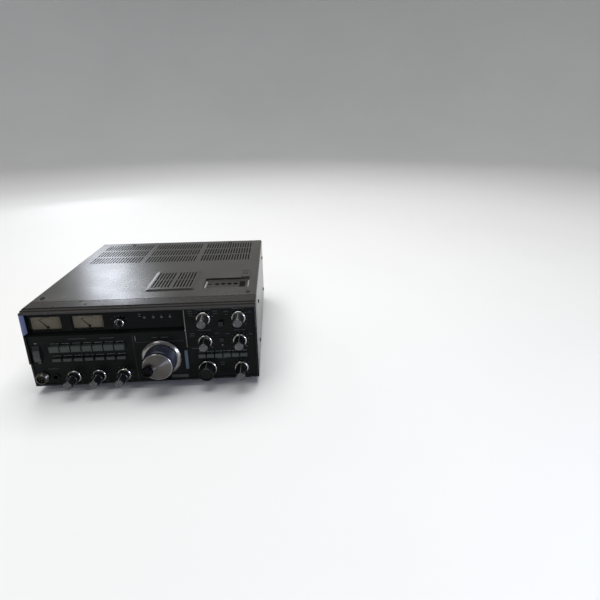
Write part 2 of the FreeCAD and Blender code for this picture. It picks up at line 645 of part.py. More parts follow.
# Main dial: turned aluminium body, rubber grip ring round it, and the finger spinner.
def tuning_dial():
    body = new_body("tuning_knob", "dial_x", "panel_set_back", "dial_height")
    outline = sketch(body, "top", "outline")
    front = "-dial_gap - dial_depth"
    skirt_front = "-dial_gap - dial_skirt_height"
    polygon(outline, [
        ("0", front), ("dial_core_radius - dial_edge", front),
        ("dial_core_radius", f"{front} + dial_edge"), ("dial_core_radius", skirt_front),
        ("dial_radius - dial_skirt_bevel", skirt_front),
        ("dial_radius", f"{skirt_front} + dial_skirt_bevel"), ("dial_radius", "-dial_gap"),
        ("shaft_radius", "-dial_gap"),
        ("shaft_radius", "encoder_depth - encoder_end"), ("0", "encoder_depth - encoder_end")])
    turn(body, outline)
    seat = sketch(body, "front", "spinner_seat", front)
    circle(seat, "spinner_x", "spinner_height", "spinner_pin_radius + shaft_fit")
    cut(body, seat, "spinner_pin + 1")

    grip = new_body("tuning_grip", "dial_x", "panel_set_back", "dial_height")
    outline = sketch(grip, "top", "outline")
    grip_front = f"{skirt_front} - dial_grip_length"
    polygon(outline, [
        ("dial_core_radius", grip_front),
        ("dial_grip_radius - dial_grip_wall / 2", grip_front),
        ("dial_grip_radius - dial_grip_wall / 5", f"{grip_front} + dial_edge"),
        ("dial_grip_radius", skirt_front),
        ("dial_core_radius", skirt_front)])
    turn(grip, outline)

    spinner = new_body("finger_spinner", "dial_x + spinner_x",
                       "panel_set_back - dial_gap - dial_depth", "dial_height + spinner_height")
    outline = sketch(spinner, "top", "outline")
    tip = "-spinner_gap - spinner_length"
    polygon(outline, [
        ("0", f"{tip} + dial_edge"), ("spinner_radius - 3 * knob_edge", tip),
        ("spinner_radius - knob_edge", tip), ("spinner_radius", f"{tip} + knob_edge"),
        ("spinner_radius", "-spinner_gap - 3 * spinner_waist"),
        ("spinner_radius - spinner_waist", "-spinner_gap - spinner_waist"),
        ("spinner_radius - spinner_waist", "-spinner_gap"),
        ("spinner_pin_radius", "-spinner_gap"), ("spinner_pin_radius", "spinner_pin"),
        ("0", "spinner_pin")])
    turn(spinner, outline)


# A push key: cap with softened front edges and a square stem that slides in its bank.
def key(name, x, z, width, tall, stand):
    body = new_body(name, x, "panel_set_back", z)
    outline = sketch(body, "front", "cap", "key_back")
    centred(outline, "0", "0", width, tall)
    cap = pad(body, outline, f"key_back + {stand}")
    cap.recompute(True)
    front = min(edge.BoundBox.YMin for edge in cap.Shape.Edges)
    soften(body, cap, "Fillet", "key_edge",
           lambda edge: edge.BoundBox.YMax < front + 0.01)
    stem = sketch(body, "front", "stem", "key_back")
    centred(stem, "0", "0", "stem_size", "stem_size")
    pad(body, stem, "stem_length", back=True)


def keys():
    for index, name in enumerate(side_by_side("upper_key", count("upper_key_count"))):
        key(name, f"upper_key_x + {index} * upper_key_pitch", "upper_key_height",
            "upper_key_width", "upper_key_tall", "upper_key_stand")
    for index, name in enumerate(side_by_side("lower_key", count("upper_key_count"))):
        key(name, f"upper_key_x + {index} * upper_key_pitch", "lower_key_height",
            "lower_key_width", "lower_key_tall", "lower_key_stand")
    for index, name in enumerate(side_by_side("band_key", count("band_key_count"))):
        key(name, f"band_key_x + {index} * band_key_pitch", "band_key_height",
            "band_key_width", "band_key_tall", "band_key_stand")
    key("call_key", "call_key_x", "call_key_height", "call_key_size", "call_key_size",
        "call_key_stand")


# Tall rocker on a cross pin behind the panel. Its own origin is on the pin.
def power_rocker():
    body = new_body("power_rocker", "rocker_x", "panel_back + rocker_pivot", "rocker_height")
    lean(body, FreeCAD.Vector(-1, 0, 0), "rocker_lean")
    outline = sketch(body, "side", "outline")
    back = "-rocker_pivot - panel_wall"
    polygon(outline, [
        (f"{back} - rocker_stand + rocker_crown", "-rocker_tall / 2"),
        (f"{back} - rocker_stand", "-rocker_tall / 5"),
        (f"{back} - rocker_stand", "rocker_tall / 5"),
        (f"{back} - rocker_stand + rocker_crown", "rocker_tall / 2"),
        (f"{back} + panel_set_back", "rocker_tall / 2"),
        ("rocker_back", "rocker_tall / 6"), ("rocker_back", "-rocker_tall / 6"),
        (f"{back} + panel_set_back", "-rocker_tall / 2")])
    pad(body, outline, "rocker_width", middle=True)
    pin = sketch(body, "side", "pin")
    circle(pin, "0", "0", "rocker_pin_radius")
    pad(body, pin, "rocker_width + 2 * rocker_pin_reach", middle=True)


# One pocketed block behind a row of keys, with a square guide hole for each stem.
def key_bank(name, x, z, pitch, number, width, tall):
    left = f"{x} - ({width}) / 2 - bank_margin"
    low = f"{z} - ({tall}) / 2 - bank_margin"
    whole = f"({number} - 1) * {pitch} + {width} + 2 * bank_margin"
    body = block(f"{name}_block", left, "panel_back", low, whole, "bank_depth",
                 f"{tall} + 2 * bank_margin")
    relief = block(f"{name}_relief", f"{left} + bank_wall", "panel_back - bank_wall",
                   f"{low} + bank_wall", f"{whole} - 2 * bank_wall", "bank_wall + key_travel",
                   f"{tall} + 2 * bank_margin - 2 * bank_wall")
    holes = []
    for step in range(count(number) if number in SIZES else int(number)):
        holes.append(block(f"{name}_guide_{step}",
                           f"{x} + {step} * {pitch} - stem_size / 2 - opening_gap",
                           "panel_back", f"{z} - stem_size / 2 - opening_gap",
                           "stem_size + 2 * opening_gap", "bank_depth - bank_wall",
                           "stem_size + 2 * opening_gap"))
    return less(name, body, relief, *holes)


def potentiometer(name, x, z, seat="panel_back", radius="control_radius",
                  depth="control_depth"):
    return less(name, rod(f"{name}_case", x, seat, z, radius, depth),
                rod(f"{name}_bore", x, seat, z, "shaft_radius + shaft_fit", f"{depth} - control_end"))


# Everything behind the panel that knobs, keys and the rocker work on.
def control_bank():
    members = [
        key_bank("upper_bank", "upper_key_x", "upper_key_height", "upper_key_pitch",
                 "upper_key_count", "upper_key_width", "upper_key_tall"),
        key_bank("lower_bank", "upper_key_x", "lower_key_height", "upper_key_pitch",
                 "upper_key_count", "lower_key_width", "lower_key_tall"),
        key_bank("band_bank", "band_key_x", "band_key_height", "band_key_pitch",
                 "band_key_count", "band_key_width", "band_key_tall"),
        key_bank("call_bank", "call_key_x", "call_key_height", "0", "1",
                 "call_key_size", "call_key_size")]
    for step in range(count("pair_count")):
        x = f"pair_x + {step} * pair_pitch"
        case = rod(f"pair_{step}_case", x, "panel_back", "pair_height", "control_radius",
                   "2 * control_depth")
        tube = rod(f"pair_{step}_tube", x, "panel_back", "pair_height",
                   "tube_radius + shaft_fit", "shaft_reach - panel_wall + knob_gap")
        bore = rod(f"pair_{step}_bore", x, "panel_back", "pair_height",
                   "shaft_radius + shaft_fit", "2 * control_depth - control_end")
        members.append(less(f"pair_{step}_control", case, tube, bore))
    for name, (x, z) in RIGHT_KNOBS.items():
        members.append(potentiometer(f"{name}_control", x, z))
    members.append(potentiometer("channel_switch", "knob_column_one", "knob_row_low"))
    members.append(potentiometer("selector_switch", "selector_x", "selector_height",
                                 "window_back"))
    members.append(potentiometer("encoder", "dial_x", "dial_height", "panel_back",
                                 "encoder_radius", "encoder_depth"))
    members.append(rocker_housing())
    group("control_bank", members)


def rocker_housing():
    wide = "rocker_width + 2 * opening_gap"
    tall = "rocker_tall + 2 * rocker_swing_gap"
    case = block("rocker_case", f"rocker_x - ({wide}) / 2 - rocker_housing_wall", "panel_back",
                 f"rocker_height - ({tall}) / 2 - bank_wall", f"{wide} + 2 * rocker_housing_wall",
                 "2 * rocker_pivot", f"{tall} + 2 * bank_wall")
    room = block("rocker_room", f"rocker_x - ({wide}) / 2", "panel_back - bank_wall",
                 f"rocker_height - ({tall}) / 2", wide, "2 * rocker_pivot", tall)
    bore = rod("rocker_bore", f"rocker_x - ({wide}) / 2 - rocker_housing_wall - 1",
               "panel_back + rocker_pivot", "rocker_height", "rocker_pin_radius + shaft_fit",
               f"{wide} + 2 * rocker_housing_wall + 2", "right")
    return less("rocker_housing", case, room, bore)


# Round plug socket with a screwed barrel and eight pins.
def mic_connector():
    body = new_body("mic_connector", "mic_x", "panel_set_back", "mic_height")
    outline = sketch(body, "top", "outline")
    polygon(outline, [
        ("0", "-mic_stand + mic_floor"),
        ("mic_radius - mic_shell_wall", "-mic_stand + mic_floor"),
        ("mic_radius - mic_shell_wall", "-mic_stand"), ("mic_radius - mic_edge", "-mic_stand"),
        ("mic_radius", "-mic_stand + mic_edge"), ("mic_radius", "-mic_nut"),
        ("mic_nut_radius - mic_edge", "-mic_nut"),
        ("mic_nut_radius", "-mic_nut + mic_edge"),
        ("mic_nut_radius", "0"), ("mic_radius", "0"), ("mic_radius", "panel_wall"),
        ("mic_tail_radius", "panel_wall"), ("mic_tail_radius", "panel_wall + mic_tail"),
        ("0", "panel_wall + mic_tail")])
    turn(body, outline)
    pins = sketch(body, "front", "pins", "-mic_stand + mic_floor + mic_pin_radius / 2")
    circle(pins, "mic_pin_circle", "0", "mic_pin_radius")
    pin = pad(body, pins, "mic_floor")
    ring = body.newObject("PartDesign::PolarPattern", "mic_pin_ring")
    ring.Originals = [pin]
    ring.Axis = (pins, ["N_Axis"])
    ring.Angle = 360
    bind(ring, "Occurrences", "mic_pins")
    body.Tip = ring


# Headphone jack: nut on the panel, barrel through it, body behind.
def phones_jack():
    front_nut = rod("phones_nut", "phones_x", "panel_set_back - jack_nut", "phones_height",
                    "jack_nut_radius", "jack_nut")
    barrel = rod("phones_barrel", "phones_x", "panel_set_back", "phones_height",
                 "jack_barrel_radius", "panel_wall + 1")
    case = rod("phones_case", "phones_x", "panel_back", "phones_height", "jack_case_radius",
               "jack_depth")
    bore = rod("phones_bore", "phones_x", "panel_set_back - jack_nut - 1", "phones_height",
               "jack_bore_radius", "jack_nut + panel_wall + jack_depth - jack_end_wall + 1")
    jack = less("phones_jack", joined("phones_solid", front_nut, barrel, case), bore)
    node(jack, "phones_jack")


# Two meter boxes, open behind the window, with the scale as the floor of the opening.
def meter_housings():
    members = []
    for name, x in (("left", "meter_one_x"), ("right", "meter_two_x")):
        wide = "meter_width + 2 * meter_wall"
        tall = "meter_tall + 2 * meter_wall"
        case = block(f"{name}_meter_case", f"{x} - ({wide}) / 2", "window_back",
                     f"meter_height - ({tall}) / 2", wide, "sub_panel_y - window_back", tall)
        face = block(f"{name}_meter_room", f"{x} - meter_width / 2", "window_back - 1",
                     "meter_height - meter_tall / 2", "meter_width", "meter_cavity + 1",
                     "meter_tall")
        bore = rod(f"{name}_meter_bore", x, "window_back", "meter_height - needle_drop",
                   "needle_pin_radius + shaft_fit", "meter_cavity + needle_pin + 1")
        members.append(less(f"{name}_meter", case, face, bore))
    group("meter_housings", members)


# A pointer on its own pin. It is drawn upright and stored leaning to the left stop.
def meter_needle(name, x):
    body = new_body(name, x, "window_back + meter_cavity - needle_stand",
                    "meter_height - needle_drop")
    lean(body, FreeCAD.Vector(0, -1, 0), "needle_rest")
    arm = sketch(body, "front", "arm")
    polygon(arm, [("-needle_width", "0"), ("needle_width", "0"),
                  ("needle_width / 4", "needle_length"), ("-needle_width / 4", "needle_length")])
    pad(body, arm, "needle_wall", back=True)
    hub = sketch(body, "front", "hub")
    circle(hub, "0", "0", "needle_hub")
    pad(body, hub, "needle_wall * 2", back=True)
    pin = sketch(body, "front", "pin")
    circle(pin, "0", "0", "needle_pin_radius")
    pad(body, pin, "needle_stand + needle_pin", back=True)


# End outline of the raised speaker panel, whose left and right sides slope.
def flat_ridge(drawing, half, low):
    high = f"{low} + grille_rise"
    polygon(drawing, [
        (f"grille_x - {half}", low), (f"grille_x + {half}", low),
        (f"grille_x + {half} - grille_run", high), (f"grille_x - {half} + grille_run", high)])


# Top cover: a folded sheet with a raised speaker panel, slots and the preset opening.
def top_cover():
    body = new_body("top_cover")
    outline = sketch(body, "front", "outline", "cover_front")
    rectangle(outline, "-half_width", "cover_split", "half_width", "case_height")
    shell = pad(body, outline, "cover_length", back=True)
    soften(body, shell, "Fillet", "corner_radius",
           lambda edge: along_y(edge) and edge.Vertexes[0].Z > sheet.get("cover_split") + 1)
    inside = sketch(body, "front", "inside", "cover_front")
    polygon(inside, [
        ("-chassis_half", "cover_split - 1"), ("chassis_half", "cover_split - 1"),
        ("chassis_half", "under_top - cover_wall"), ("chassis_half - cover_wall", "under_top"),
        ("-chassis_half + cover_wall", "under_top"), ("-chassis_half", "under_top - cover_wall")])
    cut(body, inside)
    plateau = sketch(body, "front", "plateau", "grille_y - grille_size / 2")
    flat_ridge(plateau, "grille_size / 2", "case_height")
    pad(body, plateau, "grille_size", back=True)
    hollow = sketch(body, "front", "hollow", "grille_y - grille_size / 2 + cover_wall")
    flat_ridge(hollow, "(grille_size - cover_wall) / 2", "under_top")
    cut(body, hollow, "grille_size - 2 * cover_wall")
    hatch = sketch(body, "top", "hatch", "case_height")
    right = "hatch_x + hatch_width"
    notch_end = "hatch_y + hatch_length + notch_length"
    polygon(hatch, [
        ("hatch_x", "hatch_y"), (right, "hatch_y"), (right, notch_end),
        (f"{right} - notch_width", notch_end), (f"{right} - notch_width", "hatch_y + hatch_length"),
        ("hatch_x", "hatch_y + hatch_length")])
    for side in ("-", ""):
        circle(hatch, f"{side}front_screw_x", "front_screw_y", "screw_radius + screw_hole_gap")
        circle(hatch, f"{side}rear_screw_x", "rear_screw_y", "screw_radius + screw_hole_gap")
    cut(body, hatch, "cover_wall + 1")
    sides = sketch(body, "side", "side_holes")
    for step in range(2):
        circle(sides, f"side_screw_y + {step} * side_screw_pitch", "side_screw_height",
               "screw_radius + screw_hole_gap")
    cut(body, sides)
    speaker_slot = sketch(body, "top", "speaker_slot", "case_height + grille_rise")
    start_x = "grille_x - grille_gap_x / 2 - (grille_slots - 1) * grille_slot_pitch / 2"
    centred(speaker_slot, start_x, "grille_y - grille_gap_y / 2", "grille_slot_width",
            "grille_slot_length")
    one = cut(body, speaker_slot, "grille_rise + cover_wall + 1")
    pattern(body, one, [("H_Axis", "grille_slots", "grille_slot_pitch"),
                        ("H_Axis", "2", "grille_gap_x"), ("V_Axis", "2", "grille_gap_y")])
    vent = sketch(body, "top", "vent", "case_height")
    centred(vent, "vent_first_x", "vent_first_y", "vent_width", "vent_length")
    one = cut(body, vent, "cover_wall + 1")
    pattern(body, one, [("H_Axis", "vent_slots", "vent_pitch"),
                        ("H_Axis", "vent_groups", "vent_group_pitch"),
                        ("V_Axis", "vent_rows", "vent_row_pitch")])


# Bottom cover: the lower folded sheet, with screw holes in its sides.
def bottom_cover():
    body = new_body("bottom_cover")
    outline = sketch(body, "front", "outline", "cover_front")
    high = "cover_split - cover_seam"
    polygon(outline, [
        ("-half_width", "0"), ("half_width", "0"), ("half_width", high), ("chassis_half", high),
        ("chassis_half", "cover_wall"), ("-chassis_half", "cover_wall"), ("-chassis_half", high),
        ("-half_width", high)])
    shell = pad(body, outline, "cover_length", back=True)
    soften(body, shell, "Fillet", "corner_radius / 2",
           lambda edge: along_y(edge) and abs(edge.Vertexes[0].Z) < 0.01)
    sides = sketch(body, "side", "side_holes")
    for step in range(2):
        circle(sides, f"side_screw_y + {step} * side_screw_pitch", "low_screw_height",
               "screw_radius + screw_hole_gap")
    cut(body, sides)


# Sliding lid under the cover, with the thumb grip that stands up through the notch.
def hatch_lid():
    body = new_body("hatch_lid", "lid_left", "lid_rest_y", "lid_top - lid_wall")
    outline = sketch(body, "top", "plate")
    rectangle(outline, "0", "0", "lid_width", "hatch_length + lid_lap")
    pad(body, outline, "lid_wall")
    grip = sketch(body, "top", "grip", "lid_wall")
    right = "lid_lap + hatch_width"
    rectangle(grip, f"{right} - notch_width + opening_gap", "lid_grip_inset",
              f"{right} - opening_gap", "lid_grip_inset + lid_grip_length")
    pad(body, grip, "lid_gap + cover_wall + lid_grip_stand")
    ribs = sketch(body, "top", "ribs", "lid_wall + lid_gap + cover_wall + lid_grip_stand")
    for step in range(count("lid_ribs")):
        start = f"{right} - notch_width + lid_grip_inset + {step} * 2 * lid_rib"
        rectangle(ribs, start, "lid_grip_inset + lid_grip_length / 3", f"{start} + lid_rib",
                  "lid_grip_length")
    cut(body, ribs, "lid_rib_depth")


# Shallow tray under the opening, a shelf behind it for the slid back lid, the rails that hang
# both from the cover, and the preset controls in the tray's holes.
def control_well():
    body = loose_body("well_tray")
    shelf = sketch(body, "top", "shelf", "well_top - well_wall")
    rail = "lid_left - lid_edge_gap"
    far_rail = "lid_left + lid_width + lid_edge_gap"
    front = "hatch_y - well_rim"
    rear = "lid_rest_y + hatch_length + lid_lap"
    rectangle(shelf, f"{rail} - well_rail", front, f"{far_rail} + well_rail", rear)
    pad(body, shelf, "well_wall")
    rails = sketch(body, "top", "rails", "well_top")
    rectangle(rails, f"{rail} - well_rail", front, rail, rear)
    rectangle(rails, far_rail, front, f"{far_rail} + well_rail", rear)
    pad(body, rails, "under_top - well_top")
    pan = sketch(body, "top", "pan", "well_top - well_wall")
    rectangle(pan, "hatch_x - well_rim", front, "hatch_x + hatch_width + well_rim",
              "hatch_y + hatch_length + well_rim")
    pad(body, pan, "well_depth", back=True)
    room = sketch(body, "top", "room", "well_top")
    rectangle(room, "hatch_x", "hatch_y", "hatch_x + hatch_width", "hatch_y + hatch_length")
    cut(body, room, "well_depth", taper="-well_slope")
    holes = sketch(body, "top", "holes", "well_top")
    for step in range(count("preset_count")):
        circle(holes, f"preset_x + {step} * preset_pitch", "preset_y", "preset_radius")
    centred(holes, "preset_x - spare_slit_offset", "preset_y", "2 * preset_radius",
            "2 * preset_slit")
    cut(body, holes)
    members = [body]
    for step in range(count("preset_count")):
        x = f"preset_x + {step} * preset_pitch"
        case = rod(f"preset_{step}_case", x, "preset_y", "well_under - preset_body",
                   "preset_body_radius", "preset_body", "up")
        slit = block(f"preset_{step}_slit", f"{x} - preset_slit / 2", "preset_y - preset_radius",
                     "well_under - preset_slit", "preset_slit", "2 * preset_radius",
                     "2 * preset_slit")
        members.append(less(f"preset_{step}", case, slit))
    group("control_well", members)


# Speaker hung under the raised panel by a square frame.
def speaker():
    body = new_body("speaker", "grille_x", "grille_y", "under_top - speaker_frame_wall")
    frame = sketch(body, "top", "frame")
    centred(frame, "0", "0", "speaker_frame", "speaker_frame")
    circle(frame, "0", "0", "speaker_radius - speaker_cone_wall")
    pad(body, frame, "speaker_frame_wall")
    cone_line = sketch(body, "front", "cone")
    polygon(cone_line, [
        ("speaker_radius", "0"), ("magnet_radius", "-speaker_depth + magnet_height"),
        ("magnet_radius", "-speaker_depth"), ("0", "-speaker_depth"),
        ("0", "-speaker_depth + magnet_height + 1.5"),
        ("magnet_radius - 4", "-speaker_depth + magnet_height + 1.5"),
        ("speaker_radius - speaker_cone_wall", "0")])
    basket = body.newObject("PartDesign::Revolution", "speaker_basket")
    basket.Profile = cone_line
    basket.ReferenceAxis = (cone_line, ["V_Axis"])
    basket.Angle = 360


# Chassis: side frames with top flanges, a deck between them and the sub-panel at the front.
def chassis():
    body = new_body("chassis")
    outline = sketch(body, "front", "section", "bezel_depth")
    inner = "chassis_half - chassis_wall"
    flange = "chassis_half - deck_flange"
    low = "cover_wall"
    polygon(outline, [
        ("-chassis_half", low), (f"-({inner})", low), (f"-({inner})", "deck_height"),
        (inner, "deck_height"), (inner, low), ("chassis_half", low),
        ("chassis_half", "under_top - cover_wall"), ("chassis_half - cover_wall", "under_top"),
        (flange, "under_top"), (flange, "under_top - chassis_wall"),
        (f"{inner} - cover_wall", "under_top - chassis_wall"),
        (inner, "under_top - chassis_wall - cover_wall"),
        (inner, "deck_height + chassis_wall"), (f"-({inner})", "deck_height + chassis_wall"),
        (f"-({inner})", "under_top - chassis_wall - cover_wall"),
        (f"-({inner} - cover_wall)", "under_top - chassis_wall"),
        (f"-({flange})", "under_top - chassis_wall"), (f"-({flange})", "under_top"),
        ("-chassis_half + cover_wall", "under_top"), ("-chassis_half", "under_top - cover_wall")])
    pad(body, outline, "chassis_length", back=True)
    clear = sketch(body, "front", "front_clear", "bezel_depth")
    rectangle(clear, f"-({inner})", "cover_wall - 1", inner, "case_height")
    cut(body, clear, "sub_panel_y - bezel_depth")
    wall = sketch(body, "front", "sub_panel", "sub_panel_y")
    rectangle(wall, "-chassis_half + 0.1", "cover_wall", "chassis_half - 0.1",
              "under_top - cover_wall")
    pad(body, wall, "chassis_wall", back=True)
    room = sketch(body, "top", "hatch_room", "under_top + 1")
    rectangle(room, f"{flange} - 1", "hatch_y - well_rim - 1", f"{inner} - cover_wall / 2",
              "lid_rest_y + hatch_length + lid_lap + 1")
    cut(body, room, "chassis_wall + cover_wall + 1")
    screw_holes = sketch(body, "top", "screw_holes", "under_top")
    for side in ("-", ""):
        circle(screw_holes, f"{side}front_screw_x", "front_screw_y", "screw_radius + screw_fit")
    cut(body, screw_holes, "chassis_wall * 2")
    sides = sketch(body, "side", "side_holes")
    for step in range(2):
        for height in ("side_screw_height", "low_screw_height"):
            circle(sides, f"side_screw_y + {step} * side_screw_pitch", height,
                   "screw_radius + screw_fit")
    cut(body, sides)


# Rear panel with its cut-outs, and a folded lip at its top for the rear cover screws.
def rear_panel():
    body = new_body("rear_panel")
    outline = sketch(body, "front", "outline", "rear_inner")
    gap = "opening_gap"
    rectangle(outline, f"-chassis_half + {gap}", f"cover_wall + {gap}", f"chassis_half - {gap}",
              f"under_top - cover_wall - {gap}")
    pad(body, outline, "rear_wall", back=True)
    lip = sketch(body, "front", "lip", "rear_inner - rear_lip")
    rectangle(lip, "-rear_screw_x - rear_lip", "under_top - chassis_wall",
              "rear_screw_x + rear_lip", "under_top")
    pad(body, lip, "rear_lip + rear_wall", back=True)
    holes = sketch(body, "front", "holes", "rear_inner")
    for step in range(2):
        circle(holes, "antenna_x", f"antenna_low + {step} * antenna_pitch",
               "antenna_tail_radius + opening_gap")
    for step in range(count("rear_jacks")):
        circle(holes, "rear_jack_x", f"rear_jack_low + {step} * rear_jack_pitch",
               "jack_barrel_radius + opening_gap")
    circle(holes, "accessory_x", "accessory_height", "accessory_radius + opening_gap")
    circle(holes, "fuse_x", "fuse_height", "fuse_tube_radius + opening_gap")
    centred(holes, "inlet_x", "inlet_height", "inlet_width - 2 * inlet_lip + 2 * opening_gap",
            "inlet_tall - 2 * inlet_lip + 2 * opening_gap")
    cut(body, holes)
    screw_holes = sketch(body, "top", "screw_holes", "under_top")
    for side in ("-", ""):
        circle(screw_holes, f"{side}rear_screw_x", "rear_screw_y", "screw_radius + screw_fit")
    cut(body, screw_holes, "chassis_wall + 1")


# Finned block on the rear panel.
def heat_sink():
    body = new_body("heat_sink", "heat_sink_x", "case_depth", "heat_sink_low")
    outline = sketch(body, "front", "outline")
    rectangle(outline, "-heat_sink_width / 2", "0", "heat_sink_width / 2", "heat_sink_tall")
    pad(body, outline, "heat_sink_depth", back=True)
    gap = "(heat_sink_width - fin_count * fin_wall) / (fin_count - 1)"
    groove = sketch(body, "front", "groove", "heat_sink_base")
    start = "-heat_sink_width / 2 + fin_wall"
    rectangle(groove, start, "-1", f"{start} + {gap}", "heat_sink_tall + 1")
    one = cut(body, groove, "heat_sink_depth")
    pattern(body, one, [("H_Axis", "fin_count - 1", f"({gap} + fin_wall)")])


# Sockets, inlet, fuse holder and ground terminal on the rear panel.
def rear_sockets():
    members = []
    for step in range(2):
        z = f"antenna_low + {step} * antenna_pitch"
        flange = block(f"antenna_{step}_flange", "antenna_x - antenna_flange / 2", "case_depth",
                       f"{z} - antenna_flange / 2", "antenna_flange", "socket_flange",
                       "antenna_flange")
        barrel = rod(f"antenna_{step}_barrel", "antenna_x", "case_depth", z, "antenna_radius",
                     "socket_flange + antenna_length")
        tail = rod(f"antenna_{step}_tail", "antenna_x", "rear_inner - antenna_tail", z,
                   "antenna_tail_radius", "rear_wall + antenna_tail + socket_flange / 2")
        bore = rod(f"antenna_{step}_bore", "antenna_x", "case_depth + socket_flange", z,
                   "antenna_bore", "antenna_length + 1")
        ring = rod(f"antenna_{step}_ring", "antenna_x", "case_depth + socket_flange + socket_floor",
                   z, "antenna_radius - antenna_wall", "antenna_length")
        core = rod(f"antenna_{step}_core", "antenna_x", "case_depth + socket_flange", z,
                   "antenna_bore + antenna_core_wall", "antenna_length - socket_floor / 2")
        shell = less(f"antenna_{step}_shell", joined(f"antenna_{step}_solid", flange, barrel,
                                                     tail), ring)
        members.append(less(f"antenna_socket_{step}",
                            joined(f"antenna_{step}_whole", shell, core), bore))
    for step in range(count("rear_jacks")):
        z = f"rear_jack_low + {step} * rear_jack_pitch"
        nut = rod(f"rear_jack_{step}_nut", "rear_jack_x", "case_depth", z, "jack_nut_radius",
                  "jack_nut")
        barrel = rod(f"rear_jack_{step}_barrel", "rear_jack_x", "rear_inner - 1", z,
                     "jack_barrel_radius", "rear_wall + 2")
        case = rod(f"rear_jack_{step}_case", "rear_jack_x", "rear_inner - jack_depth", z,
                   "jack_case_radius", "jack_depth")
        bore = rod(f"rear_jack_{step}_bore", "rear_jack_x",
                   "rear_inner - jack_depth + jack_end_wall", z,
                   "jack_bore_radius", "2 * jack_depth")
        members.append(less(f"rear_jack_{step}",
                            joined(f"rear_jack_{step}_solid", nut, barrel, case), bore))
    accessory = joined(
        "accessory_solid",
        rod("accessory_rim", "accessory_x", "case_depth", "accessory_height",
            "accessory_radius + 2 * accessory_rim", "socket_flange"),
        rod("accessory_barrel", "accessory_x", "rear_inner - accessory_tail",
            "accessory_height", "accessory_radius",
            "rear_wall + accessory_tail + accessory_stand"))
    members.append(less("accessory_socket", accessory,
                        rod("accessory_room", "accessory_x", "case_depth + socket_flange / 4",
                            "accessory_height", "accessory_radius - accessory_rim",
                            "accessory_stand")))
    members.append(joined(
        "power_inlet",
        block("inlet_flange", "inlet_x - inlet_width / 2", "case_depth",
              "inlet_height - inlet_tall / 2", "inlet_width", "socket_flange", "inlet_tall"),
        block("inlet_case", "inlet_x - inlet_width / 2 + inlet_lip", "rear_inner - inlet_tail",
              "inlet_height - inlet_tall / 2 + inlet_lip", "inlet_width - 2 * inlet_lip",
              "rear_wall + inlet_tail + inlet_stand", "inlet_tall - 2 * inlet_lip")))
    members.append(joined(
        "fuse_holder",
        rod("fuse_cap", "fuse_x", "case_depth", "fuse_height", "fuse_radius", "fuse_stand"),
        rod("fuse_tube", "fuse_x", "rear_inner - fuse_tail", "fuse_height", "fuse_tube_radius",
            "rear_wall + fuse_tail + fuse_stand / 2")))
    members.append(joined(
        "ground_terminal",
        rod("ground_stud", "ground_x", "case_depth", "ground_height", "ground_radius",
            "ground_length"),
        rod("ground_nut_disc", "ground_x", "case_depth", "ground_height", "ground_nut",
            "ground_nut_height")))
    group("rear_sockets", members)


# Mains transformer on the deck: laminated core with its winding.
def power_transformer():
    base = "deck_height + chassis_wall"
    core = block("transformer_core", "transformer_x - transformer_width / 2",
                 "transformer_y - transformer_length / 2 + coil_overhang", base,
                 "transformer_width", "transformer_length - 2 * coil_overhang",
                 "transformer_height")
    coil = block("transformer_coil", "transformer_x - transformer_width / 4",
                 "transformer_y - transformer_length / 2", f"{base} + coil_rise",
                 "transformer_width / 2", "transformer_length",
                 "transformer_height - 2 * coil_rise")
    node(joined("power_transformer", core, coil), "power_transformer")


# Circuit boards on posts: one above the deck, one below it, and the display board.
def circuit_boards():
    members = []
    wide = "2 * (chassis_half - chassis_wall - board_margin)"
    y = "board_start"
    for name, low, base, can_low in (
            ("upper", "deck_height + chassis_wall + board_post", "deck_height + chassis_wall",
             "deck_height + chassis_wall + board_post + board_wall"),
            ("lower", "deck_height - board_post - board_wall", "deck_height - board_post",
             "deck_height - board_post - board_wall - can_height")):
        parts = [block(f"{name}_board_plate", f"-({wide}) / 2", y, low, wide, "board_length",
                       "board_wall")]
        for across in (0, 1):
            for along in (0, 1):
                parts.append(rod(
                    f"{name}_board_post_{across}{along}",
                    f"-({wide}) / 2 + board_post_inset + {across} * ({wide} - 2 * board_post_inset)",
                    f"{y} + board_post_inset + {along} * (board_length - 2 * board_post_inset)",
                    base, "board_post_radius", "board_post", "up"))
        for index in range(count("cans")):
            parts.append(block(f"{name}_can_{index}", f"can_x + {index} * can_pitch",
                               f"{y} + can_inset", can_low, "can_width", "can_length",
                               "can_height"))
        members.append(joined(f"{name}_board", *parts))
    edge = "window_right - display_board_margin"
    low = "window_low + display_board_margin / 2"
    plate = block("display_board_plate", "display_board_x", "display_board_y", low,
                  f"{edge} - display_board_x", "board_wall",
                  f"panel_high - display_board_margin / 2 - ({low})")
    digits = block("display_module", "digits_x", "window_back",
                   "window_low + display_board_margin",
                   f"{edge} - display_board_margin - digits_x",
                   "display_board_y - window_back", "digits_tall")
    posts = [rod(f"display_post_{index}", x, "display_board_y + board_wall",
                 "window_low + display_post_rise", "board_post_radius",
                 "sub_panel_y - display_board_y - board_wall")
             for index, x in enumerate(("digits_x", f"{edge} - board_post_inset"))]
    members.append(joined("display_board", plate, digits, *posts))
    group("circuit_boards", members)


# Four round rubber feet under the bottom cover.
def feet():
    members = []
    for side in ("-", ""):
        x = f"{side}(half_width - foot_inset_x)"
        for name, y in (("front", "cover_front + foot_inset_front"),
                        ("rear", "case_depth - foot_inset_rear")):
            members.append(cone(f"foot_{name}{side and '_left'}", x, y, "-foot_height",
                                "foot_radius - foot_taper", "foot_radius", "foot_height"))
    group("feet", members)


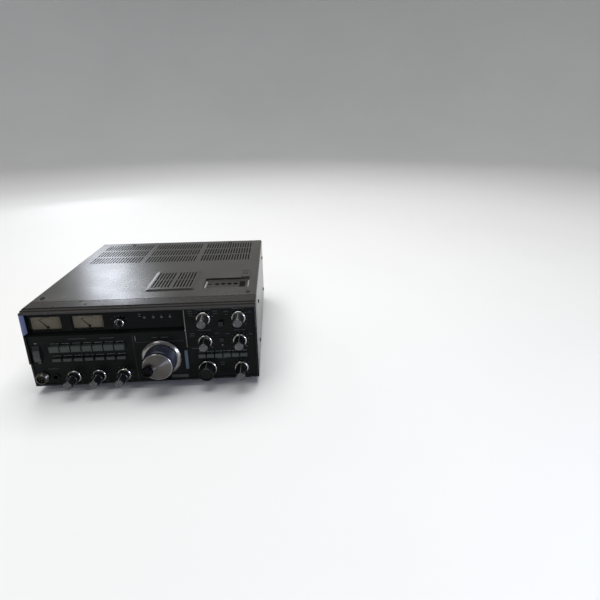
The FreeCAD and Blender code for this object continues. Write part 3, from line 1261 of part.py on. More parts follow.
# Pan head screws of the covers.
def screws():
    members = []

    def screw(name, x, y, z, way, head_x="0", head_z="0"):
        shank = rod(f"{name}_shank", x, y, z, "screw_radius", "screw_length", way)
        head = rod(f"{name}_head", f"{x} + {head_x}", y, f"{z} + {head_z}",
                   "screw_head_radius", "screw_head", way)
        members.append(joined(name, shank, head))

    for side in ("-", ""):
        tag = "left" if side else "right"
        for place_name in ("front", "rear"):
            screw(f"{place_name}_{tag}_screw", f"{side}{place_name}_screw_x",
                  f"{place_name}_screw_y", "case_height + screw_head", "down")
        for step in range(2):
            for level in ("side", "low"):
                screw(f"{level}_{tag}_{step}_screw", f"{side}(half_width + screw_head)",
                      f"side_screw_y + {step} * side_screw_pitch", f"{level}_screw_height",
                      "right" if side else "left")
    group("screws", members)


front_bezel()
front_panel()
display_window()
keys()
power_rocker()
for step, (ring_name, knob_name) in enumerate(PAIRS):
    knob_pair(ring_name, knob_name, step)
for knob_name, (x, z) in RIGHT_KNOBS.items():
    turned_knob(knob_name, x, z, "knob_skirt_radius", "knob_radius", "knob_cap_radius",
                "tall_knob_length" if knob_name == "offset_knob" else "knob_length")
turned_knob("channel_knob", "knob_column_one", "knob_row_low", "channel_skirt_radius",
            "channel_radius", "channel_cap_radius", "channel_length", dish="channel_dish")
turned_knob("meter_selector_knob", "selector_x", "selector_height", "selector_skirt_radius",
            "selector_radius", "selector_cap_radius", "selector_length",
            seat="window_set_back", reach="selector_reach")
tuning_dial()
mic_connector()
phones_jack()
meter_housings()
meter_needle("signal_meter_needle", "meter_one_x")
meter_needle("tuning_meter_needle", "meter_two_x")
control_bank()
chassis()
circuit_boards()
power_transformer()
speaker()
control_well()
hatch_lid()
top_cover()
bottom_cover()
rear_panel()
heat_sink()
rear_sockets()
feet()
screws()
doc.recompute()

faults = [f"{thing.Label}: {thing.State}" for thing in doc.Objects
          if "Invalid" in thing.State or "Error" in thing.State]
for thing in nodes:
    if thing.Shape.isNull() or not thing.Shape.isValid() or not thing.Shape.Solids:
        faults.append(f"{thing.Label}: bad shape")
if faults:
    raise SystemExit("\n".join(faults))
for thing in nodes:
    thing.Shape.exportStep(f"parts/{thing.Label}.step")
    print(thing.Label, len(thing.Shape.Solids), round(thing.Shape.Volume, 1))
print(len(nodes), "nodes")
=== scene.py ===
"""Finishes, small parts, prints and studio of a desktop amateur radio transceiver.

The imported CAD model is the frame.  Lengths in the classes are millimetres, measured as the part's
source measures them: x from the middle of the case, y back from the bezel's face, z up from the
underside of the case.  Meshes are stored in metres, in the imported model's frame.
"""

import logging
import math
from dataclasses import dataclass, field, replace
from enum import Enum
from typing import Any, Iterable, NamedTuple, Optional, Sequence

import bmesh
import bpy
from mathutils import Matrix, Vector


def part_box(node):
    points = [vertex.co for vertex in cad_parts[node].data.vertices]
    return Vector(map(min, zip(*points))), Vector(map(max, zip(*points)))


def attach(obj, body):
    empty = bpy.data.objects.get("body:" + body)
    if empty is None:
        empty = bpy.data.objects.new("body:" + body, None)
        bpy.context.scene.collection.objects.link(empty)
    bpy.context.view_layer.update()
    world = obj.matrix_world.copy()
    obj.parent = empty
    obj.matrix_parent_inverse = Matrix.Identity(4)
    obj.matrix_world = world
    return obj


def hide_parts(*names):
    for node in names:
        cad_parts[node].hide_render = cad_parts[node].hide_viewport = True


# Short names for the types that most makers take or give
Mesh = bpy.types.Mesh
Tree = bpy.types.NodeTree
Socket = bpy.types.NodeSocket

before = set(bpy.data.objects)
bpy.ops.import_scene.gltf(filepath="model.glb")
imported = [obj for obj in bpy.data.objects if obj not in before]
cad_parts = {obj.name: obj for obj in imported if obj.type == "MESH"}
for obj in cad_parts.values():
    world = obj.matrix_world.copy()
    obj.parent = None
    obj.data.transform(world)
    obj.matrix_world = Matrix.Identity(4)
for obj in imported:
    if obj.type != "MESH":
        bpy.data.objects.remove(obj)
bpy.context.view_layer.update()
LOG = logging.getLogger("transceiver")

MM = 0.001
LIP = 2.6                                           # the cheeks' lip in front of the bezel's face
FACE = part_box("front_bezel")[0].y + LIP * MM        # the bezel's face, in the frame
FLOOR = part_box("feet")[1].z                         # the underside of the case, in the frame
PANEL = 1.0                                         # front of the black panel
WINDOW = 8.0                                        # front of the smoked window
INK_THICK = 0.04                                    # how far printed ink stands up
DIGIT_SHARE = 0.72                                  # a digit's height over the size of its type


def at(x: float, y: float, z: float) -> Vector:
    """Turn case millimetres into a point of the frame, in metres.

    Args:
        x: across, from the middle of the case.
        y: back from the bezel's face.
        z: up from the underside of the case.

    Returns:
        The point in metres.
    """
    return Vector((x * MM, FACE + y * MM, FLOOR + z * MM))


class Seat(NamedTuple):
    """Where a CAD node is, in case millimetres: its middle and its half width."""

    x: float
    z: float
    half: float


def seat_of(node: str) -> Seat:
    """Measure a CAD node.

    Args:
        node: the node's name.

    Returns:
        Its middle across and up, and half its width.
    """
    low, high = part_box(node)
    return Seat((low.x + high.x) / 2 / MM, ((low.z + high.z) / 2 - FLOOR) / MM,
                (high.x - low.x) / 2 / MM)


class Way(Enum):
    """Which way a piece's own axis points, and which way its own x runs."""

    FRONT = ((0, -1, 0), (1, 0, 0))
    REAR = ((0, 1, 0), (-1, 0, 0))
    UP = ((0, 0, 1), (1, 0, 0))
    DOWN = ((0, 0, -1), (1, 0, 0))
    LEFT = ((-1, 0, 0), (0, -1, 0))
    RIGHT = ((1, 0, 0), (0, 1, 0))

    def matrix(self, spot: Vector) -> Matrix:
        """Make the matrix that takes a mesh in its own millimetres to its place.

        Args:
            spot: where the mesh's own origin goes, in metres.

        Returns:
            The matrix.
        """
        along, across = (Vector(direction) for direction in self.value)
        turn = Matrix((across, along.cross(across), along)).transposed().to_4x4()
        return Matrix.Translation(spot) @ turn @ Matrix.Scale(MM, 4)


# Finishes

def linear(code: str, alpha: float = 1.0) -> tuple[float, float, float, float]:
    """Turn an sRGB hex value into linear colour, by the standard's own curve.

    Args:
        code: six hex digits after a #.
        alpha: the fourth value.

    Returns:
        Red, green, blue and alpha.
    """
    parts = [int(code[i:i + 2], 16) / 255 for i in (1, 3, 5)]
    red, green, blue = (part / 12.92 if part <= 0.04045 else ((part + 0.055) / 1.055) ** 2.4
                        for part in parts)
    return (red, green, blue, alpha)


def add_node(tree: Tree, kind: str, links: Optional[dict[Any, Any]] = None,
             **settings: Any) -> bpy.types.Node:
    """Add a node with its settings and links.

    Args:
        tree: the tree that the node goes into.
        kind: the node's type.
        links: socket name or number to a value, or to the socket that feeds it.
        settings: the node's own properties.

    Returns:
        The node.
    """
    made = tree.nodes.new(kind)
    for name, value in settings.items():
        setattr(made, name, value)
    for name, value in (links or {}).items():
        if isinstance(value, Socket):
            tree.links.new(value, made.inputs[name])
        else:
            made.inputs[name].default_value = value
    return made


@dataclass(frozen=True)
class Finish:
    """A surface as it was made.  The base class has a fine irregular grain."""

    name: str
    colour: str
    shade: str                  # the colour that it drifts to, from handling, dust or the mould
    roughness: float
    metallic: float = 0.0
    ior: float = 1.5
    grain: float = 0.5          # mm across one grain
    relief: float = 0.01        # mm from the grain's low to its high
    drift: float = 45.0         # mm across one blotch
    spread: float = 0.06        # how far the roughness strays either way
    specular: float = 0.5       # 0.5 is what the IOR gives; lower for a face that kills reflections
    # sheen is partly dust and worn rubber; a tinted sheen also paints a reflection of coloured
    # light
    sheen: float = 0.0          # dust and worn rubber, which pale towards the edge of the form
    sheen_tint: str = "#ffffff"
    alpha: float = 1.0
    # emission painted on a surface that is no lamp: painted light
    glow: float = 0.0

    def place(self, tree: Tree) -> Socket:
        """Give the coordinates that the pattern is laid out on, in metres."""
        return add_node(tree, "ShaderNodeTexCoord").outputs["Object"]

    def grain_height(self, tree: Tree, where: Socket) -> Socket:
        """Give the height of the grain, from 0 to 1.

        Args:
            tree: the material's tree.
            where: the coordinates.

        Returns:
            The socket that holds the height.
        """
        return add_node(tree, "ShaderNodeTexNoise",
                        {"Vector": where, "Scale": 1 / (self.grain * MM), "Detail": 3.0,
                         "Roughness": 0.6}).outputs["Fac"]

    def stretch_gloss(self, tree: Tree, where: Socket, shader: bpy.types.Node) -> None:
        """Leave the gloss as it is; a finish with a direction changes it here.

        Args:
            tree: the material's tree; not used here.
            where: the coordinates; not used here.
            shader: the surface's shader; not used here.
        """

    def tint(self, tree: Tree, where: Socket, blotch: Socket) -> Socket:
        """Give the colour.

        Args:
            tree: the material's tree.
            where: the coordinates; not used here.
            blotch: a slow noise from 0 to 1.

        Returns:
            The socket that holds the colour.
        """
        return add_node(tree, "ShaderNodeMix",
                        {0: blotch, 6: linear(self.colour), 7: linear(self.shade)},
                        data_type="RGBA").outputs[2]

    def build(self) -> bpy.types.Material:
        """Make the material, or give the one already made.

        Nearly all of a noise lies between 0.28 and 0.72, so that is stretched to the whole range.

        Returns:
            The material.
        """
        made = bpy.data.materials.get(self.name)
        if made:
            return made
        made = bpy.data.materials.new(self.name)
        made.use_nodes = True
        tree = made.node_tree
        tree.nodes.clear()
        where = self.place(tree)
        noise = add_node(tree, "ShaderNodeTexNoise",
                         {"Vector": where, "Scale": 1 / (self.drift * MM), "Detail": 4.0,
                          "Roughness": 0.55})
        blotch = add_node(tree, "ShaderNodeMapRange",
                          {0: noise.outputs["Fac"], 1: 0.28, 2: 0.72},
                          interpolation_type="SMOOTHSTEP").outputs[0]
        gloss = add_node(tree, "ShaderNodeMapRange",
                         {0: noise.outputs["Fac"], 1: 0.3, 2: 0.7,
                          3: max(0.02, self.roughness - self.spread),
                          4: min(1.0, self.roughness + self.spread)}).outputs[0]
        bump = add_node(tree, "ShaderNodeBump",
                        {"Height": self.grain_height(tree, where), "Strength": 1.0,
                         "Distance": self.relief * MM})
        shader = add_node(tree, "ShaderNodeBsdfPrincipled",
                          {"Base Color": self.tint(tree, where, blotch), "Roughness": gloss,
                           "Metallic": self.metallic, "Normal": bump.outputs["Normal"],
                           "Alpha": self.alpha})
        if not self.metallic:
            shader.inputs["IOR"].default_value = self.ior
            shader.inputs["Specular IOR Level"].default_value = self.specular
        self.stretch_gloss(tree, where, shader)
        if self.sheen:
            shader.inputs["Sheen Weight"].default_value = self.sheen
            shader.inputs["Sheen Roughness"].default_value = 0.35
            shader.inputs["Sheen Tint"].default_value = linear(self.sheen_tint)
        if self.glow:
            shader.inputs["Emission Color"].default_value = linear(self.colour)
            shader.inputs["Emission Strength"].default_value = self.glow
        add_node(tree, "ShaderNodeOutputMaterial", {"Surface": shader.outputs[0]})
        made.diffuse_color = linear(self.colour, self.alpha)
        return made


@dataclass(frozen=True)
class TurnedFinish(Finish):
    """A face cut on a lathe: fine rings round an axis that runs from front to back."""

    centre: tuple[float, float] = (0.0, 0.0)        # across and up, in case millimetres
    streak: float = 0.0         # how far the rings stretch a highlight outwards

    def from_axis(self, tree: Tree, where: Socket) -> Socket:
        """Give the vector outwards from the axis.

        Args:
            tree: the material's tree.
            where: the coordinates.

        Returns:
            The socket that holds the vector.
        """
        middle = at(self.centre[0], 0, self.centre[1])
        return add_node(tree, "ShaderNodeMapping",
                        {"Vector": where, "Location": (-middle.x, 0.0, -middle.z),
                         "Scale": (1.0, 0.0, 1.0)}).outputs[0]

    def grain_height(self, tree: Tree, where: Socket) -> Socket:
        """Give the height of the tool marks, which are rings.

        Args:
            tree: the material's tree.
            where: the coordinates.

        Returns:
            The socket that holds the height.
        """
        radius = add_node(tree, "ShaderNodeVectorMath", {0: self.from_axis(tree, where)},
                          operation="LENGTH").outputs["Value"]
        far = add_node(tree, "ShaderNodeMath", {0: radius, 1: 1 / (self.grain * MM)},
                       operation="MULTIPLY").outputs[0]
        return add_node(tree, "ShaderNodeTexNoise",
                        {"W": far, "Scale": 1.0, "Detail": 2.0},
                        noise_dimensions="1D").outputs["Fac"]

    def stretch_gloss(self, tree: Tree, where: Socket, shader: bpy.types.Node) -> None:
        """Stretch the gloss outwards, across the rings.

        Args:
            tree: the material's tree.
            where: the coordinates.
            shader: the surface's shader.
        """
        outward = add_node(tree, "ShaderNodeVectorMath", {0: self.from_axis(tree, where)},
                           operation="NORMALIZE")
        tree.links.new(outward.outputs[0], shader.inputs["Tangent"])
        shader.inputs["Anisotropic"].default_value = self.streak


@dataclass(frozen=True)
class DrawnFinish(Finish):
    """A sheet or bar with lines along one direction, as rolling or brushing leaves them."""

    stretch: tuple[float, float, float] = (1.0, 1.0, 0.03)     # small along the lines

    def grain_height(self, tree: Tree, where: Socket) -> Socket:
        """Give the height of the drawn lines.

        Args:
            tree: the material's tree.
            where: the coordinates.

        Returns:
            The socket that holds the height.
        """
        moved = add_node(tree, "ShaderNodeMapping", {"Vector": where, "Scale": self.stretch})
        return add_node(tree, "ShaderNodeTexNoise",
                        {"Vector": moved.outputs[0], "Scale": 1 / (self.grain * MM),
                         "Detail": 1.0}).outputs["Fac"]


@dataclass(frozen=True)
class TwoToneFinish(Finish):
    """A moulding whose upper part is sprayed in another colour, with a masked edge."""

    upper: str = "#ffffff"
    line: float = 118.2         # mm up from the underside of the case

    def tint(self, tree: Tree, where: Socket, blotch: Socket) -> Socket:
        """Give the lower colour below the line and the upper one above it.

        Args:
            tree: the material's tree.
            where: the coordinates.
            blotch: a slow noise from 0 to 1.

        Returns:
            The socket that holds the colour.
        """
        lower = super().tint(tree, where, blotch)
        height = add_node(tree, "ShaderNodeSeparateXYZ", {0: where}).outputs["Z"]
        above = add_node(tree, "ShaderNodeMath", {0: height, 1: at(0, 0, self.line).z},
                         operation="GREATER_THAN").outputs[0]
        return add_node(tree, "ShaderNodeMix", {0: above, 6: lower, 7: linear(self.upper)},
                        data_type="RGBA").outputs[2]


class Finishes:
    """Every finish of the set, named for what it is and how it was made."""

    # Stoved enamel over steel rolled with fine lines across the case, which draw a highlight out
    # towards the viewer.  The real lines are some 0.3 mm apart; drawn thirty times as coarse to
    # show.
    ENAMEL = DrawnFinish("stoved_satin_enamel", "#3b3936", "#42403c", 0.25, grain=10.0,
                         relief=0.012, drift=70, spread=0.03, stretch=(0.03, 1.0, 0.6))
    # Moulded ABS, sprayed to match the enamel on top and black on the front.
    BEZEL = TwoToneFinish("sprayed_abs_bezel", "#090a0a", "#0d0e0e", 0.28, grain=0.7,
                          relief=0.004, specular=0.15, upper="#343230")
    # Aluminium panel in satin black, with a faint green in daylight.
    PANEL = Finish("satin_black_panel", "#0a0c0b", "#0d100e", 0.42, relief=0.004, specular=0.08)
    # Grey ABS keys: a spark eroded mould gives them a soft even sheen.
    KEY = Finish("moulded_abs_key", "#2a2f2b", "#313632", 0.42, grain=0.4, relief=0.006,
                 specular=0.3)
    # The same ABS, a shade darker in the row of small keys.
    KEY_SMALL = Finish("moulded_abs_key_small", "#252a26", "#2b302c", 0.42, grain=0.4,
                       relief=0.006, specular=0.3)
    # The same ABS in a cooler grey, rubbed a little smoother.
    KEY_DARK = Finish("moulded_abs_key_dark", "#2b302d", "#313633", 0.4, grain=0.4, relief=0.006,
                      specular=0.3)
    # Black ABS from a finer mould, with a clear soft highlight.
    ROCKER = Finish("moulded_abs_rocker", "#131616", "#181b1b", 0.26, grain=0.4, relief=0.005)
    # Black phenolic, pressed in a polished mould and dulled by hands.
    KNOB = Finish("pressed_phenolic_knob", "#0f0f11", "#151517", 0.27, relief=0.004, specular=0.6)
    # Black ABS from a polished mould: a deep dark disc on the dial.
    SPINNER = Finish("glossy_black_spinner", "#030305", "#040407", 0.12, grain=1.5, relief=0.002,
                     specular=0.05)
    # Nickel plate keeps the turning marks under it.
    NICKEL = Finish("bright_nickel_plate", "#aaa7a3", "#9d9a95", 0.2, metallic=1.0, grain=0.8,
                    relief=0.003)
    # The same plate, dulled and spotted by the plug.
    NICKEL_DULL = Finish("dulled_nickel_plate", "#5b5953", "#4b4943", 0.34, metallic=1.0,
                         grain=0.8, relief=0.01, drift=6)
    # Spun aluminium under worn lacquer: grey, with a soft highlight in patches.
    CAP = Finish("spun_aluminium_cap", "#5d5d5d", "#494949", 0.42, metallic=0.85, grain=0.25,
                 relief=0.012, drift=3, spread=0.08)
    # Aluminium faced on a lathe: its rings stretch a highlight into two fans of light.
    DIAL_FACE = TurnedFinish("turned_dial_face", "#6d6b69", "#646260", 0.5, metallic=1.0,
                             grain=0.35, relief=0.006, spread=0.02, streak=0.95)
    # The same, cut finer on the skirt, which shines in a bright band.
    DIAL_SKIRT = TurnedFinish("turned_dial_skirt", "#8e8b89", "#827f7d", 0.26, metallic=1.0,
                              relief=0.006, streak=0.5)
    # Fine ribbed nitrile rubber, a little grey with dust between the ribs; its blue base colour and
    # blue sheen are a painted reflection of the cool light from the right.
    GRIP = Finish("knurled_nitrile_grip", "#0a0f1e", "#0e1428", 0.4, grain=0.4, relief=0.008,
                  specular=0.35, sheen=0.02, sheen_tint="#7f95d6")
    # Moulded rubber, matt, without a highlight.
    RUBBER = Finish("moulded_rubber_foot", "#1b1b1b", "#242423", 0.75, relief=0.02)
    # Matt screen ink: pale, grey as thin lines look from afar, and worn almost to the black.
    INK = Finish("pale_screen_ink", "#9ea59f", "#8d948e", 0.6, grain=0.3, relief=0.002)
    INK_DIM = Finish("grey_screen_ink", "#5b625d", "#525954", 0.6, grain=0.3, relief=0.002)
    INK_FAINT = Finish("worn_grey_screen_ink", "#363b3a", "#2c3130", 0.6, grain=0.3,
                       relief=0.002, drift=4)
    # Matt inks of the meter cards: brick red and a faded brown.
    INK_RED = Finish("red_scale_ink", "#9c3a2c", "#8f3427", 0.6, grain=0.3, relief=0.002)
    INK_BROWN = Finish("brown_scale_ink", "#4d443a", "#574d42", 0.6, grain=0.3, relief=0.002)
    # Acrylic backed with black paint, as deep and even as glass, with a little of the room on it.
    MASK = Finish("black_backed_acrylic", "#050607", "#08090a", 0.09, grain=8, relief=0.001,
                  ior=1.49, spread=0.02, specular=0.07)
    # Woven steel wire, blacked: a dark sheet that also paints the shade of the case's inside.
    SCREEN = Finish("black_cloth_painted_shade", "#040404", "#060606", 0.7, relief=0.004, specular=0.05)
    # Matt card, yellowed; a slight painted glow, an emission though the card is no lamp, keeps it
    # pale behind the smoked window.
    CARD = Finish("cream_meter_card", "#d8cdb2", "#cfc4a9", 0.62, grain=0.4, relief=0.004,
                  drift=20, glow=0.1)
    # Smoked acrylic, polished, so that the room shows on it.
    WINDOW = Finish("smoked_acrylic", "#040506", "#040506", 0.06, grain=8, relief=0.001,
                    alpha=0.4, ior=1.49, spread=0.02, specular=0.06)
    # Frosted polycarbonate, unlit: an even grey.
    LAMP = Finish("frosted_lamp_lens", "#484847", "#40403f", 0.5, grain=0.4, specular=0.2)
    # Clear dark green polycarbonate, unlit: almost black.
    LENS_DARK = Finish("dark_lamp_lens", "#0c1010", "#0f1614", 0.25, grain=0.8, relief=0.002,
                       specular=0.2)
    # Aluminium strip, brushed along its length: a thin bright line.
    TRIM = DrawnFinish("brushed_bright_trim", "#6f7070", "#616262", 0.3, metallic=1.0,
                       grain=0.3, relief=0.004)
    # Moulded ABS in blue grey, cool between the black panels.
    BAR = Finish("blue_grey_trim_bar", "#2c3a43", "#33424b", 0.3, relief=0.003)
    # Satin blue grey strip on each cheek's flared inner face: its pale colour is a painted
    # reflection of the cool light from the right.
    LINER = Finish("painted_cheek_reflection", "#686e8b", "#717793", 0.35, relief=0.003)
    # Moulded ABS in dark green, just lighter than the panel.
    BLANK = Finish("dark_green_blank", "#161d19", "#1a221d", 0.35, relief=0.004)
    # Rolled steel, zinc plated and passivated: clouds of warmer and cooler grey.
    ZINC = Finish("passivated_zinc_sheet", "#77776f", "#6b6d65", 0.38, metallic=0.9, grain=1.2,
                  relief=0.004, drift=30)
    # Pale strips on the well's slopes: a painted highlight where light glances off its edges.
    RUNNER = Finish("painted_well_edge_highlight", "#b4b5b2", "#a9aaa7", 0.4, relief=0.004)
    # Moulded ABS, a warm dark grey with a soft sheen.
    WELL = Finish("moulded_grey_well", "#26241f", "#2c2924", 0.45, relief=0.008)
    # Extruded aluminium, black anodised: fine upright lines and a dark metal sheen.
    FIN = DrawnFinish("black_anodised_fins", "#151617", "#1b1c1d", 0.45, metallic=0.4,
                      relief=0.01)
    # Pressed paper with black dope, as dull as felt.
    SPEAKER = Finish("doped_paper_and_black_enamel", "#131312", "#1c1b19", 0.7, grain=0.9,
                     relief=0.03)
    # Stacked steel sheets under brown varnish, their edges as fine lines.
    CORE = DrawnFinish("varnished_laminations", "#4a4238", "#3b342c", 0.4, metallic=0.6,
                       relief=0.05, stretch=(1.0, 0.02, 0.02))
    # Woven glass board under green lacquer, with a faint ripple.
    BOARD = Finish("green_solder_mask", "#1d3a24", "#274a2d", 0.35, grain=1.6, relief=0.03,
                   drift=6)
    # Moulded polystyrene, black and half matt.
    METER_BOX = Finish("moulded_black_meter_box", "#1a1a19", "#222120", 0.5)
    # Drawn aluminium pointer under black lacquer.
    NEEDLE = Finish("lacquered_black_needle", "#101010", "#161616", 0.4)
    # Steel screws, zinc plated and blacked, whose edges still glint.
    SCREW = Finish("black_zinc_screw", "#35352f", "#44443f", 0.32, metallic=0.8, grain=0.6,
                   relief=0.004)
    # Silver plated brass, tarnished to a dull yellow grey.
    PIN = Finish("tarnished_silver_pin", "#6e6859", "#5e584a", 0.3, metallic=1.0)
    # Pressed phenolic of sockets, collars and cords: black, nearly without sheen.
    INSULATOR = Finish("moulded_phenolic_insulator", "#080807", "#0c0b0a", 0.45, specular=0.12)
    # Turned PTFE, white and waxy.
    DIELECTRIC = Finish("turned_ptfe_insulator", "#dcd8cc", "#cfcabd", 0.5, grain=0.4,
                        relief=0.004)
    # Steel nuts and rings, nickel plated and clouded by age.
    STEEL_NUT = Finish("nickelled_steel_nut", "#8b8882", "#77746d", 0.3, metallic=1.0, grain=0.8,
                       relief=0.006, drift=5)
    # Pale studio paper, matt and even.
    FLOOR_PAPER = Finish("pale_studio_floor", "#e6e6e4", "#e2e2e0", 0.7, grain=4, relief=0.0,
                         drift=900, spread=0.02)


# Mesh makers, which work in a piece's own millimetres, its axis along its own z

class Ring(NamedTuple):
    """One ring of a turned outline, with the finish of the band up to the next ring."""

    radius: float
    height: float
    finish: Finish


def band(finish: Finish, *points: tuple[float, float]) -> list[Ring]:
    """List the rings of a stretch of an outline that has one finish.

    Args:
        finish: the finish.
        points: each ring's radius and height.

    Returns:
        The rings, in the same order.
    """
    return [Ring(radius, height, finish) for radius, height in points]


def lift(height: float) -> Matrix:
    """Make the matrix that moves a mesh along its own z."""
    return Matrix.Translation((0, 0, height))


def merged(first: Mesh, second: Mesh) -> Mesh:
    """Put two meshes of one finish together.

    Args:
        first: the mesh that grows.
        second: the mesh that is used up.

    Returns:
        The first mesh.
    """
    both = bmesh.new()
    both.from_mesh(first)
    both.from_mesh(second)
    both.to_mesh(first)
    both.free()
    bpy.data.meshes.remove(second)
    return first


def finish_mesh(mesh: Mesh, sharp: float = 32.0) -> Mesh:
    """Shade a mesh smooth, except where it bends more than the angle.

    Args:
        mesh: the mesh.
        sharp: degrees.

    Returns:
        The same mesh.
    """
    mesh.polygons.foreach_set("use_smooth", [True] * len(mesh.polygons))
    mesh.set_sharp_from_angle(angle=math.radians(sharp))
    return mesh


def turned(outline: Sequence[Ring], sides: int = 72, closed: bool = False) -> Mesh:
    """Turn an outline about its own z axis.

    Args:
        outline: the rings in order; a radius of 0 is a pole.
        sides: how many steps go round.
        closed: whether the last ring joins the first, as in a tube.

    Returns:
        The mesh.
    """
    made = bmesh.new()
    finishes: list[Finish] = []
    loops = []
    for ring in outline:
        if ring.finish not in finishes:
            finishes.append(ring.finish)
        if ring.radius <= 0:
            loops.append([made.verts.new((0, 0, ring.height))] * sides)
            continue
        loops.append([made.verts.new((x, y, ring.height))
                      for x, y in circle(ring.radius, steps=sides)])
    pairs = list(zip(loops, loops[1:] + ([loops[0]] if closed else [])))
    for ring, (low, high) in zip(outline, pairs):
        for i in range(sides):
            k = (i + 1) % sides
            corners = []
            for vertex in (low[i], low[k], high[k], high[i]):
                if vertex not in corners:
                    corners.append(vertex)
            if len(corners) > 2:
                made.faces.new(corners).material_index = finishes.index(ring.finish)
    bmesh.ops.recalc_face_normals(made, faces=made.faces)
    mesh = bpy.data.meshes.new("turned")
    made.to_mesh(mesh)
    made.free()
    for finish in finishes:
        mesh.materials.append(finish.build())
    return finish_mesh(mesh)


def bar(width: float, tall: float, thick: float, finish: Finish, edge: float = 0.0) -> Mesh:
    """Make a block that stands on its own z = 0, with its edges rounded.

    Args:
        width: along its own x.
        tall: along its own y.
        thick: along its own z.
        finish: its finish.
        edge: the radius of its edges.

    Returns:
        The mesh.
    """
    made = bmesh.new()
    bmesh.ops.create_cube(made, size=1.0)
    for vertex in made.verts:
        vertex.co = Vector((vertex.co.x * width, vertex.co.y * tall,
                            (vertex.co.z + 0.5) * thick))
    if edge:
        bmesh.ops.bevel(made, geom=list(made.edges), offset=edge, segments=2,
                        affect="EDGES", profile=0.5)
    mesh = bpy.data.meshes.new("bar")
    made.to_mesh(mesh)
    made.free()
    mesh.materials.append(finish.build())
    return finish_mesh(mesh)


def curve_mesh(curve: bpy.types.Curve) -> Mesh:
    """Turn a curve or text into a plain mesh and remove the curve.

    Args:
        curve: the curve or text.

    Returns:
        The mesh, without a finish.
    """
    holder = bpy.data.objects.new("curve", curve)
    bpy.context.scene.collection.objects.link(holder)
    graph = bpy.context.evaluated_depsgraph_get()
    mesh = bpy.data.meshes.new_from_object(holder.evaluated_get(graph))
    bpy.data.objects.remove(holder)
    bpy.data.curves.remove(curve)
    return mesh


def plate(outlines: Sequence[Sequence[tuple[float, float]]], thick: float, finish: Finish,
          edge: float = 0.0) -> Mesh:
    """Cut a flat plate that stands on its own z = 0.

    Args:
        outlines: the outer outline, then any holes.
        thick: along its own z.
        finish: its finish.
        edge: the radius of its rim, front and back.

    Returns:
        The mesh.
    """
    curve = bpy.data.curves.new("plate", "CURVE")
    curve.dimensions = "2D"
    curve.fill_mode = "BOTH"
    curve.extrude = max(0.0, thick / 2 - edge)
    curve.bevel_depth = edge
    curve.bevel_resolution = 2
    curve.offset = -edge
    for outline in outlines:
        spline = curve.splines.new("POLY")
        spline.points.add(len(outline) - 1)
        for point, (x, y) in zip(spline.points, outline):
            point.co = (x, y, 0, 1)
        spline.use_cyclic_u = True
    mesh = curve_mesh(curve)
    mesh.transform(lift(thick / 2))
    mesh.materials.clear()
    mesh.materials.append(finish.build())
    return finish_mesh(mesh)


def circle(radius: float, x: float = 0.0, y: float = 0.0, steps: int = 40
           ) -> list[tuple[float, float]]:
    """List the points of a circle."""
    return [(x + radius * math.cos(2 * math.pi * i / steps),
             y + radius * math.sin(2 * math.pi * i / steps)) for i in range(steps)]


def oblong(left: float, low: float, right: float, high: float) -> list[tuple[float, float]]:
    """List the corners of a rectangle."""
    return [(left, low), (right, low), (right, high), (left, high)]


def words(text: str, tall: float, finish: Finish) -> Mesh:
    """Set a plain number or ON/OFF, centred on its own origin.

    Args:
        text: what it says.
        tall: the height of a digit.
        finish: the ink.

    Returns:
        The mesh.
    """
    curve = bpy.data.curves.new("words", "FONT")
    curve.body = text
    curve.size = tall / DIGIT_SHARE
    curve.align_x = "CENTER"
    curve.align_y = "CENTER"
    curve.extrude = INK_THICK / 2
    curve.resolution_u = 2
    mesh = curve_mesh(curve)
    mesh.transform(lift(INK_THICK / 2))
    mesh.materials.clear()
    mesh.materials.append(finish.build())
    return mesh


# Geometry Nodes for what repeats

